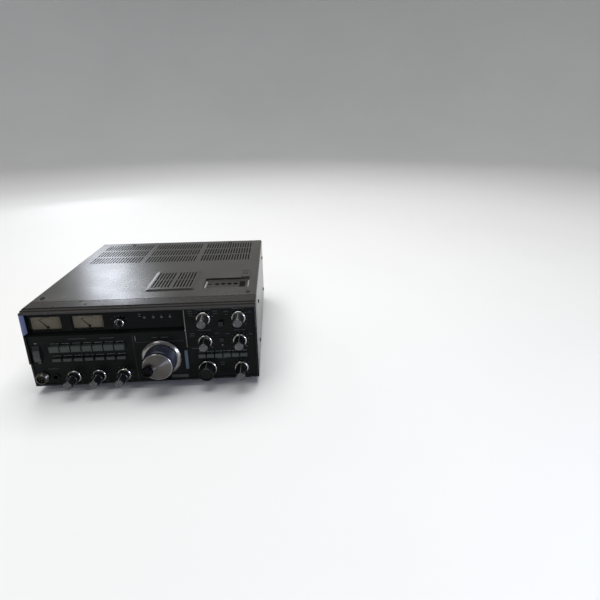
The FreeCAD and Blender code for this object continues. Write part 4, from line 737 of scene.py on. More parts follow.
class Grower:
    """Builds a Geometry Nodes tree once and bakes it into plain meshes."""

    KINDS = {int: "NodeSocketInt", float: "NodeSocketFloat",
             bpy.types.Material: "NodeSocketMaterial", bpy.types.Object: "NodeSocketObject"}

    def __init__(self, name: str, inputs: dict[str, type]) -> None:
        """Start the tree with its named inputs.

        Args:
            name: the tree's name.
            inputs: each input's name and type.
        """
        self.tree = bpy.data.node_groups.new(name, "GeometryNodeTree")
        self.tree.interface.new_socket(name="Points", in_out="INPUT",
                                       socket_type="NodeSocketGeometry")
        for label, kind in inputs.items():
            self.tree.interface.new_socket(name=label, in_out="INPUT",
                                           socket_type=self.KINDS[kind])
        self.tree.interface.new_socket(name="Mesh", in_out="OUTPUT",
                                       socket_type="NodeSocketGeometry")
        self.sizes = add_node(self.tree, "NodeGroupInput").outputs

    def close(self, points: Socket, shape: Socket, **turn: Socket) -> None:
        """Put a shape on each point, and end the tree with real geometry in its finish.

        Args:
            points: the socket with the points.
            shape: the socket with the shape.
            turn: Rotation, the socket that turns each one, where they are turned.
        """
        many = add_node(self.tree, "GeometryNodeInstanceOnPoints",
                        {"Points": points, "Instance": shape, **turn})
        real = add_node(self.tree, "GeometryNodeRealizeInstances", {0: many.outputs[0]})
        painted = add_node(self.tree, "GeometryNodeSetMaterial",
                           {"Geometry": real.outputs[0], "Material": self.sizes["Finish"]})
        add_node(self.tree, "NodeGroupOutput", {0: painted.outputs[0]})

    def grow(self, points: Optional[Mesh] = None, **values: Any) -> Mesh:
        """Run the tree and bake its result.

        Args:
            points: the mesh whose vertices carry the instances, if the tree wants one.
            values: the named inputs.

        Returns:
            A plain mesh in its own millimetres.
        """
        base = points or bpy.data.meshes.new("empty")
        holder = bpy.data.objects.new("grown", base)
        bpy.context.scene.collection.objects.link(holder)
        modifier = holder.modifiers.new("grow", "NODES")
        modifier.node_group = self.tree
        for item in self.tree.interface.items_tree:
            if item.in_out == "INPUT" and item.name in values:
                value = values[item.name]
                modifier[item.identifier] = value.build() if isinstance(value, Finish) else value
        graph = bpy.context.evaluated_depsgraph_get()
        mesh = bpy.data.meshes.new_from_object(holder.evaluated_get(graph))
        holder.modifiers.remove(modifier)
        bpy.data.objects.remove(holder)
        return finish_mesh(mesh)


class Ribs(Grower):
    """Half round ribs that stand round a drum or a cone, along its axis."""

    def __init__(self) -> None:
        """Build the tree."""
        super().__init__("ribs_round_a_drum", {
            "Count": int, "Radius": float, "Width": float, "Length": float, "Lean": float,
            "Finish": bpy.types.Material})
        tree, sizes = self.tree, self.sizes
        ring = add_node(tree, "GeometryNodeMeshCircle",
                        {"Vertices": sizes["Count"], "Radius": sizes["Radius"]})
        half = add_node(tree, "ShaderNodeMath", {0: sizes["Width"], 1: 0.5},
                        operation="MULTIPLY")
        rib = add_node(tree, "GeometryNodeMeshCylinder",
                       {"Vertices": 8, "Radius": half.outputs[0], "Depth": sizes["Length"]},
                       fill_type="TRIANGLE_FAN")
        spot = add_node(tree, "GeometryNodeInputPosition")
        inward = add_node(tree, "ShaderNodeVectorMath", {0: spot.outputs[0]},
                          operation="NORMALIZE")
        lean = add_node(tree, "ShaderNodeMath", {0: sizes["Lean"], 1: -1.0},
                        operation="MULTIPLY")
        tilt = add_node(tree, "ShaderNodeVectorMath",
                        {0: inward.outputs[0], "Scale": lean.outputs[0]}, operation="SCALE")
        upright = add_node(tree, "ShaderNodeVectorMath",
                           {0: tilt.outputs[0], 1: (0.0, 0.0, 1.0)}, operation="ADD")
        turn = add_node(tree, "FunctionNodeAlignRotationToVector",
                        {"Vector": upright.outputs[0]}, axis="Z")
        self.close(ring.outputs[0], rib.outputs[0], Rotation=turn.outputs[0])


class Arc(Grower):
    """Marks on an arc, each pointing at its centre, as on a scale."""

    def __init__(self) -> None:
        """Build the tree."""
        super().__init__("marks_on_an_arc", {
            "Count": int, "Radius": float, "Width": float, "Length": float, "Thick": float,
            "Start": float, "Sweep": float, "Finish": bpy.types.Material})
        tree, sizes = self.tree, self.sizes
        line = add_node(tree, "GeometryNodeMeshLine", {"Count": sizes["Count"]})
        last = add_node(tree, "ShaderNodeMath", {0: sizes["Count"], 1: 1.0},
                        operation="SUBTRACT")
        share = add_node(tree, "ShaderNodeMath",
                         {0: add_node(tree, "GeometryNodeInputIndex").outputs[0],
                          1: last.outputs[0]}, operation="DIVIDE")
        angle = add_node(tree, "ShaderNodeMath",
                         {0: share.outputs[0], 1: sizes["Sweep"], 2: sizes["Start"]},
                         operation="MULTIPLY_ADD")
        across = add_node(tree, "ShaderNodeMath", {0: angle.outputs[0]}, operation="SINE")
        up = add_node(tree, "ShaderNodeMath", {0: angle.outputs[0]}, operation="COSINE")
        way = add_node(tree, "ShaderNodeCombineXYZ", {0: across.outputs[0], 1: up.outputs[0]})
        spot = add_node(tree, "ShaderNodeVectorMath",
                        {0: way.outputs[0], "Scale": sizes["Radius"]}, operation="SCALE")
        placed = add_node(tree, "GeometryNodeSetPosition",
                          {"Geometry": line.outputs[0], "Position": spot.outputs[0]})
        size = add_node(tree, "ShaderNodeCombineXYZ",
                        {0: sizes["Width"], 1: sizes["Length"], 2: sizes["Thick"]})
        mark = add_node(tree, "GeometryNodeMeshCube", {"Size": size.outputs[0]})
        back = add_node(tree, "ShaderNodeMath", {0: angle.outputs[0], 1: -1.0},
                        operation="MULTIPLY")
        turn = add_node(tree, "ShaderNodeCombineXYZ", {2: back.outputs[0]})
        self.close(placed.outputs[0], mark.outputs[0], Rotation=turn.outputs[0])


class Rows(Grower):
    """Small blocks in rows and columns about the middle."""

    def __init__(self) -> None:
        """Build the tree."""
        super().__init__("blocks_in_rows", {
            "Columns": int, "Rows": int, "Width": float, "Height": float, "Block_wide": float,
            "Block_tall": float, "Thick": float, "Finish": bpy.types.Material})
        tree, sizes = self.tree, self.sizes
        grid = add_node(tree, "GeometryNodeMeshGrid",
                        {"Size X": sizes["Width"], "Size Y": sizes["Height"],
                         "Vertices X": sizes["Columns"], "Vertices Y": sizes["Rows"]})
        size = add_node(tree, "ShaderNodeCombineXYZ",
                        {0: sizes["Block_wide"], 1: sizes["Block_tall"], 2: sizes["Thick"]})
        block = add_node(tree, "GeometryNodeMeshCube", {"Size": size.outputs[0]})
        self.close(grid.outputs[0], block.outputs[0])


class Scatter(Grower):
    """One shape at each vertex of a mesh, turned to the vertex's own direction."""

    def __init__(self) -> None:
        """Build the tree."""
        super().__init__("one_at_each_point", {"Shape": bpy.types.Object,
                                               "Finish": bpy.types.Material})
        tree, sizes = self.tree, self.sizes
        way = add_node(tree, "GeometryNodeInputNamedAttribute", {"Name": "way"},
                       data_type="FLOAT_VECTOR")
        turn = add_node(tree, "FunctionNodeAlignRotationToVector",
                        {"Vector": way.outputs[0]}, axis="Z")
        shape = add_node(tree, "GeometryNodeObjectInfo", {"Object": sizes["Shape"]})
        self.close(sizes["Points"], shape.outputs["Geometry"], Rotation=turn.outputs[0])

    def spread(self, shape: Mesh, spots: Sequence[tuple[Vector, Way]], finish: Finish) -> Mesh:
        """Put a shape at each spot.

        Args:
            shape: the shape in its own millimetres.
            spots: each place in frame metres, and the way that it faces.
            finish: what it is painted with.

        Returns:
            The mesh, in frame metres.
        """
        base = bpy.data.meshes.new("spots")
        base.from_pydata([spot / MM for spot, _ in spots], [], [])
        held = base.attributes.new("way", "FLOAT_VECTOR", "POINT")
        for item, (_, way) in zip(held.data, spots):
            item.vector = way.value[0]
        holder = bpy.data.objects.new("shape", shape)
        bpy.context.scene.collection.objects.link(holder)
        mesh = self.grow(base, Shape=holder, Finish=finish)
        bpy.data.objects.remove(holder)
        mesh.transform(Matrix.Scale(MM, 4))
        return mesh


class Piece:
    """Gathers meshes into one object that rides on one body."""

    def __init__(self, name: str, body: str, slot: str, replaces: Iterable[str] = ()) -> None:
        """Start an empty piece.

        Args:
            name: the object's name.
            body: the CAD body that it moves with.
            slot: the record's material slot; not used.
            replaces: the CAD nodes that it stands for.
        """
        self.name, self.body, self.slot, self.replaces = name, body, slot, list(replaces)
        self.finishes: list[bpy.types.Material] = []
        self.made = bmesh.new()

    def add(self, mesh: Mesh, way: Optional[Way] = None,
            spot: Optional[Vector] = None, turn: Optional[Matrix] = None) -> None:
        """Add a mesh, in its place.

        Args:
            mesh: the mesh; it is used up.
            way: which way its own z goes, or None if it is in frame metres already.
            spot: where its own origin goes.
            turn: a turn about its own origin, before it is placed.
        """
        if turn is not None:
            mesh.transform(turn)
        if way is not None:
            mesh.transform(way.matrix(spot))
        slots = []
        for material in mesh.materials:
            if material not in self.finishes:
                self.finishes.append(material)
            slots.append(self.finishes.index(material))
        for polygon in mesh.polygons:
            polygon.material_index = slots[polygon.material_index]
        self.made.from_mesh(mesh)
        bpy.data.meshes.remove(mesh)

    def close(self) -> None:
        """Make the object and put it on its body."""
        mesh = bpy.data.meshes.new(self.name)
        self.made.to_mesh(mesh)
        self.made.free()
        spare = mesh.attributes.get("way")
        if spare:
            mesh.attributes.remove(spare)
        for material in self.finishes:
            mesh.materials.append(material)
        piece = bpy.data.objects.new(self.name, mesh)
        bpy.context.scene.collection.objects.link(piece)
        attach(piece, self.body)
        if self.replaces:
            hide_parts(*self.replaces)
        LOG.info("%s on %s: %d faces", self.name, self.body, len(mesh.polygons))


RIBS, ARC, ROWS, SCATTER = Ribs(), Arc(), Rows(), Scatter()


# Sub-assemblies

@dataclass
class Cabinet:
    """The finishes of the CAD solids that keep their shapes."""

    finishes: dict[str, Finish] = field(default_factory=lambda: {
        "front_bezel": Finishes.BEZEL, "front_panel": Finishes.PANEL,
        "display_window": Finishes.MASK, "top_cover": Finishes.ENAMEL,
        "bottom_cover": Finishes.ENAMEL, "hatch_lid": Finishes.ENAMEL,
        "control_well": Finishes.WELL, "power_rocker": Finishes.ROCKER,
        "chassis": Finishes.ZINC, "rear_panel": Finishes.ZINC, "heat_sink": Finishes.FIN,
        "speaker": Finishes.SPEAKER, "power_transformer": Finishes.CORE,
        "circuit_boards": Finishes.BOARD, "control_bank": Finishes.METER_BOX,
        "meter_housings": Finishes.METER_BOX, "signal_meter_needle": Finishes.NEEDLE,
        "tuning_meter_needle": Finishes.NEEDLE, "call_key": Finishes.LENS_DARK})
    key_rows: dict[str, Finish] = field(default_factory=lambda: {
        "upper_key": Finishes.KEY, "lower_key": Finishes.KEY_SMALL,
        "band_key": Finishes.KEY_DARK})

    def dress(self) -> None:
        """Give every CAD node its finish."""
        for name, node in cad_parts.items():
            row = next((row for row in self.key_rows if name.startswith(row)), None)
            finish = self.finishes.get(name) or (self.key_rows[row] if row else Finishes.KNOB)
            for slot in node.material_slots:
                slot.material = finish.build()
            LOG.info("%s finished in %s", name, finish.name)


@dataclass
class Knob:
    """A turned knob: nickel skirt, ribbed black body with an index line, aluminium cap."""

    node: str
    skirt: float = 10.7         # radius of the bright skirt
    root: float = 8.3           # radius of the body at the skirt
    cap: float = 6.5            # and at the cap
    length: float = 21.0        # from the seat to the tip
    seat: float = PANEL         # the surface that it stands over
    gap: float = 0.6            # between the two
    skirt_height: float = 3.0
    base: float = 0.0           # where the body starts, for the knob on top of another
    dish: float = 0.4           # how deep the cap's face is sunk
    ribs: int = 24
    rib_width: float = 1.1
    rib_sunk: float = 0.06      # how far a rib's axis lies inside the body
    rib_start: float = 0.8      # from the skirt to the ribs
    rib_end: float = 1.6        # from the ribs to the tip
    pointer: float = 0.8        # width of the index line
    reach: float = 13.0         # how far the spindle goes in
    shaft: float = 3.0          # radius of the spindle, or of the hole for the next one
    cap_finish: Finish = Finishes.CAP
    hollow: bool = False

    def outline(self) -> list[Ring]:
        """List the outline from the spindle's end to the middle of the cap.

        Returns:
            The rings.
        """
        black, nickel = Finishes.KNOB, Finishes.NICKEL
        skirt, root, cap, tip = self.skirt, self.root, self.cap, self.length
        rings = band(nickel, (0, -self.reach), (self.shaft, -self.reach))
        if self.base:
            low = self.base
            rings += band(black, (self.shaft, low), (root - 0.3, low), (root, low + 0.3))
        else:
            low, top = self.gap, self.gap + self.skirt_height
            rings += band(nickel, (self.shaft, low), (skirt - 0.2, low), (skirt, low + 0.2),
                          (skirt, top - 1.5), (skirt - 0.5, top - 0.7),
                          (skirt - 1.3, top - 0.15), (skirt - 1.6, top))
            rings += band(black, (root + 0.35, top), (root, top + 0.4))
        rings += band(black, (cap + 0.1, tip - 1.3), (cap - 0.1, tip - 0.6))
        return rings + band(self.cap_finish, (cap - 0.45, tip - 0.15), (cap - 0.7, tip),
                            (cap - 1.0, tip - 0.05), (cap - 1.5, tip - self.dish),
                            (0, tip - self.dish))

    def mark(self, piece: Piece, origin: Vector, middle: float, length: float) -> None:
        """Lay the index line along the body.

        Args:
            piece: what it becomes part of.
            origin: the knob's seat.
            middle: how high the ribs' middle is.
            length: how long the ribs are.
        """
        lean = math.atan((self.root - self.cap) / length)
        piece.add(bar(self.pointer, length + 0.6, 0.4, Finishes.INK_DIM, 0.12), Way.FRONT, origin,
                  Matrix.Translation((0, (self.root + self.cap) / 2 + 0.2, middle))
                  @ Matrix.Rotation(lean - math.pi / 2, 4, "X"))

    def build(self) -> None:
        """Make the knob where its CAD node is."""
        spot = seat_of(self.node)
        origin = at(spot.x, self.seat, spot.z)
        piece = Piece(f"{self.node}_turned", self.node, "knob_black", [self.node])
        piece.add(turned(self.outline(), closed=self.hollow), Way.FRONT, origin)
        low = (self.base or self.gap + self.skirt_height) + self.rib_start
        length = self.length - self.rib_end - low
        ribs = RIBS.grow(Count=self.ribs, Radius=(self.root + self.cap) / 2 - self.rib_sunk,
                         Width=self.rib_width, Length=length,
                         Lean=(self.root - self.cap) / length, Finish=Finishes.KNOB)
        piece.add(ribs, Way.FRONT, origin, lift(low + length / 2))
        self.mark(piece, origin, low + length / 2, length)
        piece.close()


@dataclass
class RingKnob(Knob):
    """The outer knob of a pair: a skirted ring with a hole for the inner knob's spindle."""

    root: float = 8.4
    cap: float = 8.4
    skirt: float = 10.5
    length: float = 12.0
    shaft: float = 3.05
    tube: float = 4.4           # radius of its own spindle, which is a tube
    ribs: int = 40
    rib_width: float = 0.7
    rib_sunk: float = 0.12
    rib_start: float = 0.6
    rib_end: float = 1.2
    pointer: float = 0.7
    hollow: bool = True

    def outline(self) -> list[Ring]:
        """List the closed outline of the ring and its hollow spindle.

        Returns:
            The rings.
        """
        skirt, low, top = self.skirt, self.gap, self.gap + self.skirt_height
        root, tip = self.root, self.length
        rings = band(Finishes.NICKEL, (self.shaft, -self.reach), (self.tube, -self.reach),
                     (self.tube, low), (skirt - 0.2, low), (skirt, low + 0.2),
                     (skirt, top - 1.5), (skirt - 0.5, top - 0.7), (skirt - 1.3, top - 0.15),
                     (skirt - 1.5, top))
        return rings + band(Finishes.KNOB, (root + 0.2, top), (root - 0.1, top + 0.4),
                            (root - 0.1, tip - 1.0), (root - 0.3, tip - 0.4),
                            (root - 0.8, tip), (self.shaft, tip))

    def mark(self, piece: Piece, origin: Vector, middle: float, length: float) -> None:
        """Lay the index line on the ring's flat end.

        Args:
            piece: what it becomes part of.
            origin: the knob's seat.
            middle: how high the ribs' middle is; not used here.
            length: how long the ribs are; not used here.
        """
        piece.add(bar(self.pointer, 1.6, 0.1, Finishes.INK, 0.03), Way.FRONT, origin,
                  Matrix.Translation((0, self.root - 1.7, self.length - 0.02)))


@dataclass
class TuningDial:
    """The main dial: turned aluminium, a ribbed rubber grip and a finger spinner."""

    gap: float = 0.8            # between the panel and the skirt
    depth: float = 24.7         # from there to the face
    radius: float = 29.5        # of the skirt
    step: float = 25.9          # radius where the skirt's slope meets its step
    core: float = 21.2          # radius of the body under the grip
    skirt: float = 4.0          # how deep the skirt is
    spindle: float = 3.0
    reach: float = 20.0         # how far the spindle goes in
    grip: float = 24.0
    grip_length: float = 18.0
    ribs: int = 90
    rib_width: float = 0.7
    grooves: int = 13           # turned across the ribs, so that the rubber is knurled square
    groove: float = 1.2
    taper: float = 0.5          # how much the grip narrows to the front
    spinner_length: float = 6.0
    spinner_gap: float = 0.4
    spinner_radius: float = 8.0
    spinner_reach: float = 8.0

    def dial(self, spot: Seat) -> None:
        """Make the metal body.

        Args:
            spot: where the CAD's dial is.
        """
        face = replace(Finishes.DIAL_FACE, centre=(spot.x, spot.z))
        rim = replace(Finishes.DIAL_SKIRT, centre=(spot.x, spot.z))
        radius, core, low = self.radius, self.core, self.gap
        tip, skirt = low + self.depth, low + self.skirt
        rings = band(rim, (0, -self.reach), (self.spindle, -self.reach), (self.spindle, low),
                     (radius - 0.3, low), (radius, low + 0.3), (radius, low + 1.0),
                     (radius - 0.25, low + 1.3), (self.step + 0.5, skirt - 0.1),
                     (self.step, skirt), (core, skirt), (core, tip - 1.2),
                     (core + 0.25, tip - 1.0), (core + 0.25, tip - 0.7), (core - 0.5, tip))
        rings += band(face, (core - 1.0, tip - 0.05), (core - 1.3, tip - 0.25),
                      (9.0, tip - 0.25), (0.4, tip - 0.25), (0, tip - 0.25))
        piece = Piece("tuning_knob_turned", "tuning_dial", "dial_metal", ["tuning_knob"])
        piece.add(turned(rings, sides=144), Way.FRONT, at(spot.x, PANEL, spot.z))
        piece.close()

    def grip_ring(self, spot: Seat) -> None:
        """Make the rubber ring with its ribs.

        Args:
            spot: where the CAD's dial is.
        """
        rubber = Finishes.GRIP
        low = self.gap + self.skirt
        high = low + self.grip_length
        inner, outer, first = self.core, self.grip - 0.15, low + 0.8
        rings = band(rubber, (inner, low), (outer, low), (outer, first))
        for index in range(self.grooves):
            start = first + index * self.groove
            crest = outer - self.taper * index / self.grooves
            rings += band(rubber, (crest - self.groove / 2, start + self.groove / 2),
                          (crest, start + self.groove))
        rings += band(rubber, (outer - 0.9, high - 0.8), (outer - 1.6, high), (inner, high))
        piece = Piece("tuning_grip_ribbed", "tuning_dial", "grip_rubber", ["tuning_grip"])
        origin = at(spot.x, PANEL, spot.z)
        piece.add(turned(rings, sides=144, closed=True), Way.FRONT, origin)
        length = self.grip_length - 2.6
        ribs = RIBS.grow(Count=self.ribs, Radius=outer - 0.5, Width=self.rib_width,
                         Length=length, Lean=self.taper / length, Finish=rubber)
        piece.add(ribs, Way.FRONT, origin, lift(low + 0.9 + length / 2))
        piece.close()

    def spinner(self) -> None:
        """Make the finger spinner, a flat cup on its pin."""
        spot = seat_of("finger_spinner")
        wide, low, back = self.spinner_radius, self.spinner_gap, -self.spinner_reach
        tip = low + self.spinner_length
        rings = band(Finishes.NICKEL, (0, back), (2, back), (2, low))
        rings += band(Finishes.SPINNER, (wide - 0.9, low), (wide - 0.8, 0.9), (wide - 0.6, 1.6),
                      (wide - 0.1, 2.6), (wide, 3.2), (wide, tip - 1.3), (wide - 0.2, tip - 0.6),
                      (wide - 0.7, tip - 0.12), (wide - 1.2, tip), (wide - 1.7, tip - 0.15),
                      (wide - 2.3, tip - 0.6), (wide - 3.4, tip - 1.3), (wide - 5.0, tip - 1.8),
                      (1.2, tip - 2.0), (0, tip - 2.0))
        piece = Piece("finger_spinner_turned", "finger_spinner", "spinner_plastic",
                      ["finger_spinner"])
        front = PANEL - self.gap - self.depth
        piece.add(turned(rings), Way.FRONT, at(spot.x, front, spot.z))
        piece.close()

    def build(self) -> None:
        """Make all three pieces."""
        spot = seat_of("tuning_knob")
        self.dial(spot)
        self.grip_ring(spot)
        self.spinner()


@dataclass
class Meters:
    """The two meter cards and the smoked window in front of them."""

    width: float = 45.5         # of a card
    tall: float = 22.7
    card_y: float = 14.3        # where its face is
    card_thick: float = 0.15
    drop: float = 8.6           # the needle's axis below the middle
    rest: float = 40.0          # degrees from upright at either end
    radius: float = 15.5        # of the scale
    marks: tuple[int, int] = (6, 5)                 # long marks on each meter's scale
    red: tuple[float, float] = (0.34, 0.25)         # share of each scale that is red
    thick: float = 2.0          # of the window
    spindle: float = 3.6        # the window's hole for the selector
    centres: tuple[tuple[float, float], ...] = ((-137.9, 99.2), (-78.0, 99.2))

    def card(self, piece: Piece, x: float, z: float, marks: int, red: float) -> None:
        """Add one card with its scale.

        Args:
            piece: what it becomes part of.
            x: the card's middle.
            z: the card's middle.
            marks: how many long marks the scale has.
            red: which share of the scale is red, at its right end.
        """
        piece.add(plate([oblong(-self.width / 2, -self.tall / 2, self.width / 2,
                                self.tall / 2)], self.card_thick, Finishes.CARD), Way.FRONT,
                  at(x, self.card_y + self.card_thick, z))
        centre = at(x, self.card_y, z - self.drop)
        whole = 2 * math.radians(self.rest)
        for count, length, ink, start, sweep in (
                (marks, 2.4, Finishes.INK_BROWN, 0.0, 1.0 - red),
                (4 * marks - 3, 1.2, Finishes.INK_BROWN, 0.0, 1.0 - red),
                (3, 2.4, Finishes.INK_RED, 1.0 - red * 0.9, red * 0.9)):
            arc = ARC.grow(Count=count, Radius=self.radius + length / 2, Width=0.35,
                           Length=length, Thick=0.06, Start=whole * (start - 0.5),
                           Sweep=whole * sweep, Finish=ink)
            piece.add(arc, Way.FRONT, centre)
        line = ARC.grow(Count=40, Radius=self.radius - 0.4, Width=0.6, Length=0.3, Thick=0.06,
                        Start=-whole / 2, Sweep=whole, Finish=Finishes.INK_BROWN)
        piece.add(line, Way.FRONT, centre)
        for i in range(marks):
            angle = whole * ((1.0 - red) * i / (marks - 1) - 0.5)
            far = self.radius + 4.3
            piece.add(words(str(2 * i + 1), 1.9, Finishes.INK_BROWN), Way.FRONT,
                      at(x + far * math.sin(angle), self.card_y,
                         z - self.drop + far * math.cos(angle)))

    def window(self) -> None:
        """Make the window: black paint behind it, and a clear pane in front of each meter."""
        low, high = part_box("display_window")
        left, right = low.x / MM, high.x / MM
        bottom, top = (low.z - FLOOR) / MM, (high.z - FLOOR) / MM
        knob = seat_of("meter_selector_knob")
        half, tall = self.width / 2 - 0.2, self.tall / 2 - 0.2
        holes = [oblong(x - half, z - tall, x + half, z + tall) for x, z in self.centres]
        piece = Piece("smoked_window", "cabinet", "smoked_window", ["display_window"])
        back = WINDOW + self.thick
        piece.add(plate([oblong(left, bottom, right, top), *holes,
                         circle(self.spindle, knob.x, knob.z)], self.thick, Finishes.MASK, 0.12),
                  Way.FRONT, at(0, back, 0))
        for x, z in self.centres:
            piece.add(plate([oblong(-half - 0.1, -tall - 0.1, half + 0.1, tall + 0.1)],
                            self.thick - 0.3, Finishes.WINDOW), Way.FRONT, at(x, back - 0.1, z))
        piece.close()

    def build(self) -> None:
        """Make the cards and the window."""
        piece = Piece("meter_cards", "cabinet", "meter_box")
        for (x, z), marks, red in zip(self.centres, self.marks, self.red):
            self.card(piece, x, z, marks, red)
        piece.close()
        self.window()


@dataclass
class Prints:
    """Everything printed or fixed on the black panel: marks, numbers, trim and lamps."""

    lamps: tuple[tuple[float, float], ...] = ((3.9, 103.9), (16.8, 103.9), (28.5, 103.9),
                                              (40.9, 103.9))
    lamp_bars: tuple[float, tuple[float, float]] = (-2.6, (106.2, 109.8))
    panel_lamp: tuple[float, float] = (114.5, 56.5)
    dark_lens: tuple[float, float] = (114.5, 66.0)
    selector_marks: int = 5
    selector_turn: float = 120.0                    # degrees from the first to the last
    selector_scale: float = 9.2                     # radius of its marks
    bands: tuple[str, ...] = ("1.8", "3.5", "7", "14", "21", "28")
    # knobs whose scale runs from 0 to 10; the mode knob's runs from 1 to 6
    graded: tuple[str, ...] = ("rf_gain_ring", "tone_ring", "carrier_ring", "shift_knob",
                               "clarifier_knob", "blanker_knob", "offset_knob")
    # long lines over groups of controls: middle across, middle up, width
    lines: tuple[tuple[float, float, float], ...] = (
        (90.0, 116.5, 22.0), (141.0, 116.5, 18.0), (90.0, 83.0, 20.0), (141.0, 81.5, 16.0),
        (112.0, 35.0, 12.0), (141.0, 36.6, 14.0), (-137.0, 28.5, 16.0))
    # short blank label lines: middle across, middle up, width
    labels: tuple[tuple[float, float, float], ...] = (
        (71.4, 114.5, 7.0), (71.6, 111.2, 6.4), (71.8, 107.4, 6.0), (107.0, 113.6, 8.0),
        (107.6, 109.8, 6.4), (123.2, 112.2, 6.6), (123.6, 107.6, 5.6), (157.4, 110.0, 5.0),
        (71.6, 78.0, 6.4), (71.8, 74.4, 6.8), (107.4, 77.2, 6.2), (123.4, 75.8, 6.0),
        (157.4, 74.0, 5.0), (74.0, 53.4, 9.0), (112.6, 27.6, 7.0), (112.6, 23.6, 6.0),
        (16.4, 74.3, 8.2), (31.0, 74.0, 10.6), (-94.0, 77.2, 26.0), (-52.0, 76.6, 20.0))

    def legend(self, piece: Piece, text: str, x: float, z: float, width: float,
               tall: float = 1.5) -> None:
        """Add a number between two short lines, which are left out where it fills the room.

        Args:
            piece: what it becomes part of.
            text: the number.
            x: its middle.
            z: its middle.
            width: the whole width, lines included.
            tall: the height of the digits.
        """
        spot = at(x, PANEL, z)
        piece.add(words(text, tall, Finishes.INK), Way.FRONT, spot)
        room = tall * (0.45 * len(text) + 0.4)
        line = width / 2 - room
        if line > 0.5:
            for side in (-1, 1):
                piece.add(bar(line, 0.28, INK_THICK, Finishes.INK), Way.FRONT, spot,
                          Matrix.Translation((side * (room + line / 2), 0, 0)))

    def scale(self, piece: Piece, node: str, marks: int, turn: float, low: str,
              high: str) -> None:
        """Add the marks round a knob, with a number at each end.

        Args:
            piece: what it becomes part of.
            node: the knob's CAD node.
            marks: how many marks.
            turn: degrees from the first mark to the last.
            low: the number at the left end.
            high: the number at the right end.
        """
        spot = seat_of(node)
        sweep = math.radians(turn)
        arc = ARC.grow(Count=marks, Radius=spot.half + 2.0, Width=0.35, Length=1.4, Thick=0.06,
                       Start=-sweep / 2, Sweep=sweep, Finish=Finishes.INK_DIM)
        piece.add(arc, Way.FRONT, at(spot.x, PANEL, spot.z))
        far = spot.half + 4.2
        for text, side in ((low, -1), (high, 1)):
            piece.add(words(text, 1.6, Finishes.INK_DIM), Way.FRONT,
                      at(spot.x + side * far * math.sin(sweep / 2), PANEL,
                         spot.z + far * math.cos(sweep / 2)))

    def panel(self) -> None:
        """Print the panel."""
        piece = Piece("panel_prints", "cabinet", "panel_black")
        for index in range(1, 8):
            key = seat_of(f"upper_key_{index}")
            self.legend(piece, str(index), key.x, key.z + 6.9, 11.5, 1.7)
            key = seat_of(f"lower_key_{index}")
            self.legend(piece, str(index + 7), key.x, key.z + 4.7, 11.0)
        for index, text in enumerate(self.bands, start=1):
            key = seat_of(f"band_key_{index}")
            self.legend(piece, text, key.x, key.z + 5.2, 10.0)
        rocker = seat_of("power_rocker")
        for text, height in (("ON", 16.2), ("OFF", -16.4)):
            piece.add(words(text, 1.7, Finishes.INK), Way.FRONT,
                      at(rocker.x, PANEL, rocker.z + height))
        for node in self.graded:
            self.scale(piece, node, 11, 280, "0", "10")
        self.scale(piece, "mode_knob", 6, 150, "1", "6")
        for x, z, width in self.lines:
            piece.add(bar(width, 0.3, INK_THICK, Finishes.INK_DIM), Way.FRONT, at(x, PANEL, z))
        for x, z, width in self.labels:
            piece.add(bar(width, 0.7, INK_THICK, Finishes.INK_FAINT), Way.FRONT, at(x, PANEL, z))
        piece.close()

    def frames(self) -> None:
        """Lay two thin frame lines, a short strip and the blank plate on the panel."""
        piece = Piece("panel_lines", "cabinet", "panel_black")
        for x, z, width, tall in ((-15.2, 41.75, 0.3, 76.5), (23.0, 67.2, 70.0, 0.3)):
            piece.add(bar(width, tall, 0.06, Finishes.INK_FAINT), Way.FRONT, at(x, PANEL, z))
        piece.add(bar(0.9, 9.0, 0.5, Finishes.TRIM, 0.12), Way.FRONT, at(-11.3, PANEL, 74.0))
        piece.add(bar(25.0, 5.5, 0.8, Finishes.BLANK, 0.25), Way.FRONT, at(47.5, PANEL, 6.9))
        piece.close()

    def trim(self) -> None:
        """Make the bright strip on the divider and the face of the trim bar."""
        piece = Piece("divider_trim", "cabinet", "dial_metal")
        piece.add(bar(1.1, 62.0, 0.5, Finishes.TRIM, 0.15), Way.FRONT, at(62.6, PANEL, 86.8))
        piece.close()
        piece = Piece("trim_bar_cap", "cabinet", "key_grey")
        piece.add(bar(4.8, 31.8, 2.8, Finishes.BAR, 0.4), Way.FRONT, at(60.2, PANEL, 36.1))
        piece.close()

    def indicators(self) -> None:
        """Make the lamps set in the window, the lamp and the dark lens on the panel."""
        piece = Piece("indicator_lamps", "cabinet", "meter_box")
        lens = band(Finishes.LAMP, (0, -0.1), (1.9, -0.1), (1.85, 0.2), (1.2, 0.42), (0, 0.5))
        for x, z in self.lamps:
            piece.add(turned(lens, sides=24), Way.FRONT, at(x, WINDOW, z))
        for z in self.lamp_bars[1]:
            piece.add(bar(4.2, 1.2, 0.25, Finishes.LAMP, 0.08), Way.FRONT,
                      at(self.lamp_bars[0], WINDOW, z))
        piece.close()
        piece = Piece("panel_lamp_and_lens", "cabinet", "key_dark")
        lamp = band(Finishes.NICKEL, (0, 0), (1.9, 0), (1.9, 0.5))
        lamp += band(Finishes.LENS_DARK, (1.6, 0.8), (1.4, 1.3), (0.8, 1.7), (0, 1.9))
        x, z = self.panel_lamp
        piece.add(turned(lamp, sides=32), Way.FRONT, at(x, PANEL, z))
        x, z = self.dark_lens
        piece.add(bar(7.0, 7.0, 0.9, Finishes.LENS_DARK, 0.25), Way.FRONT, at(x, PANEL, z))
        piece.close()

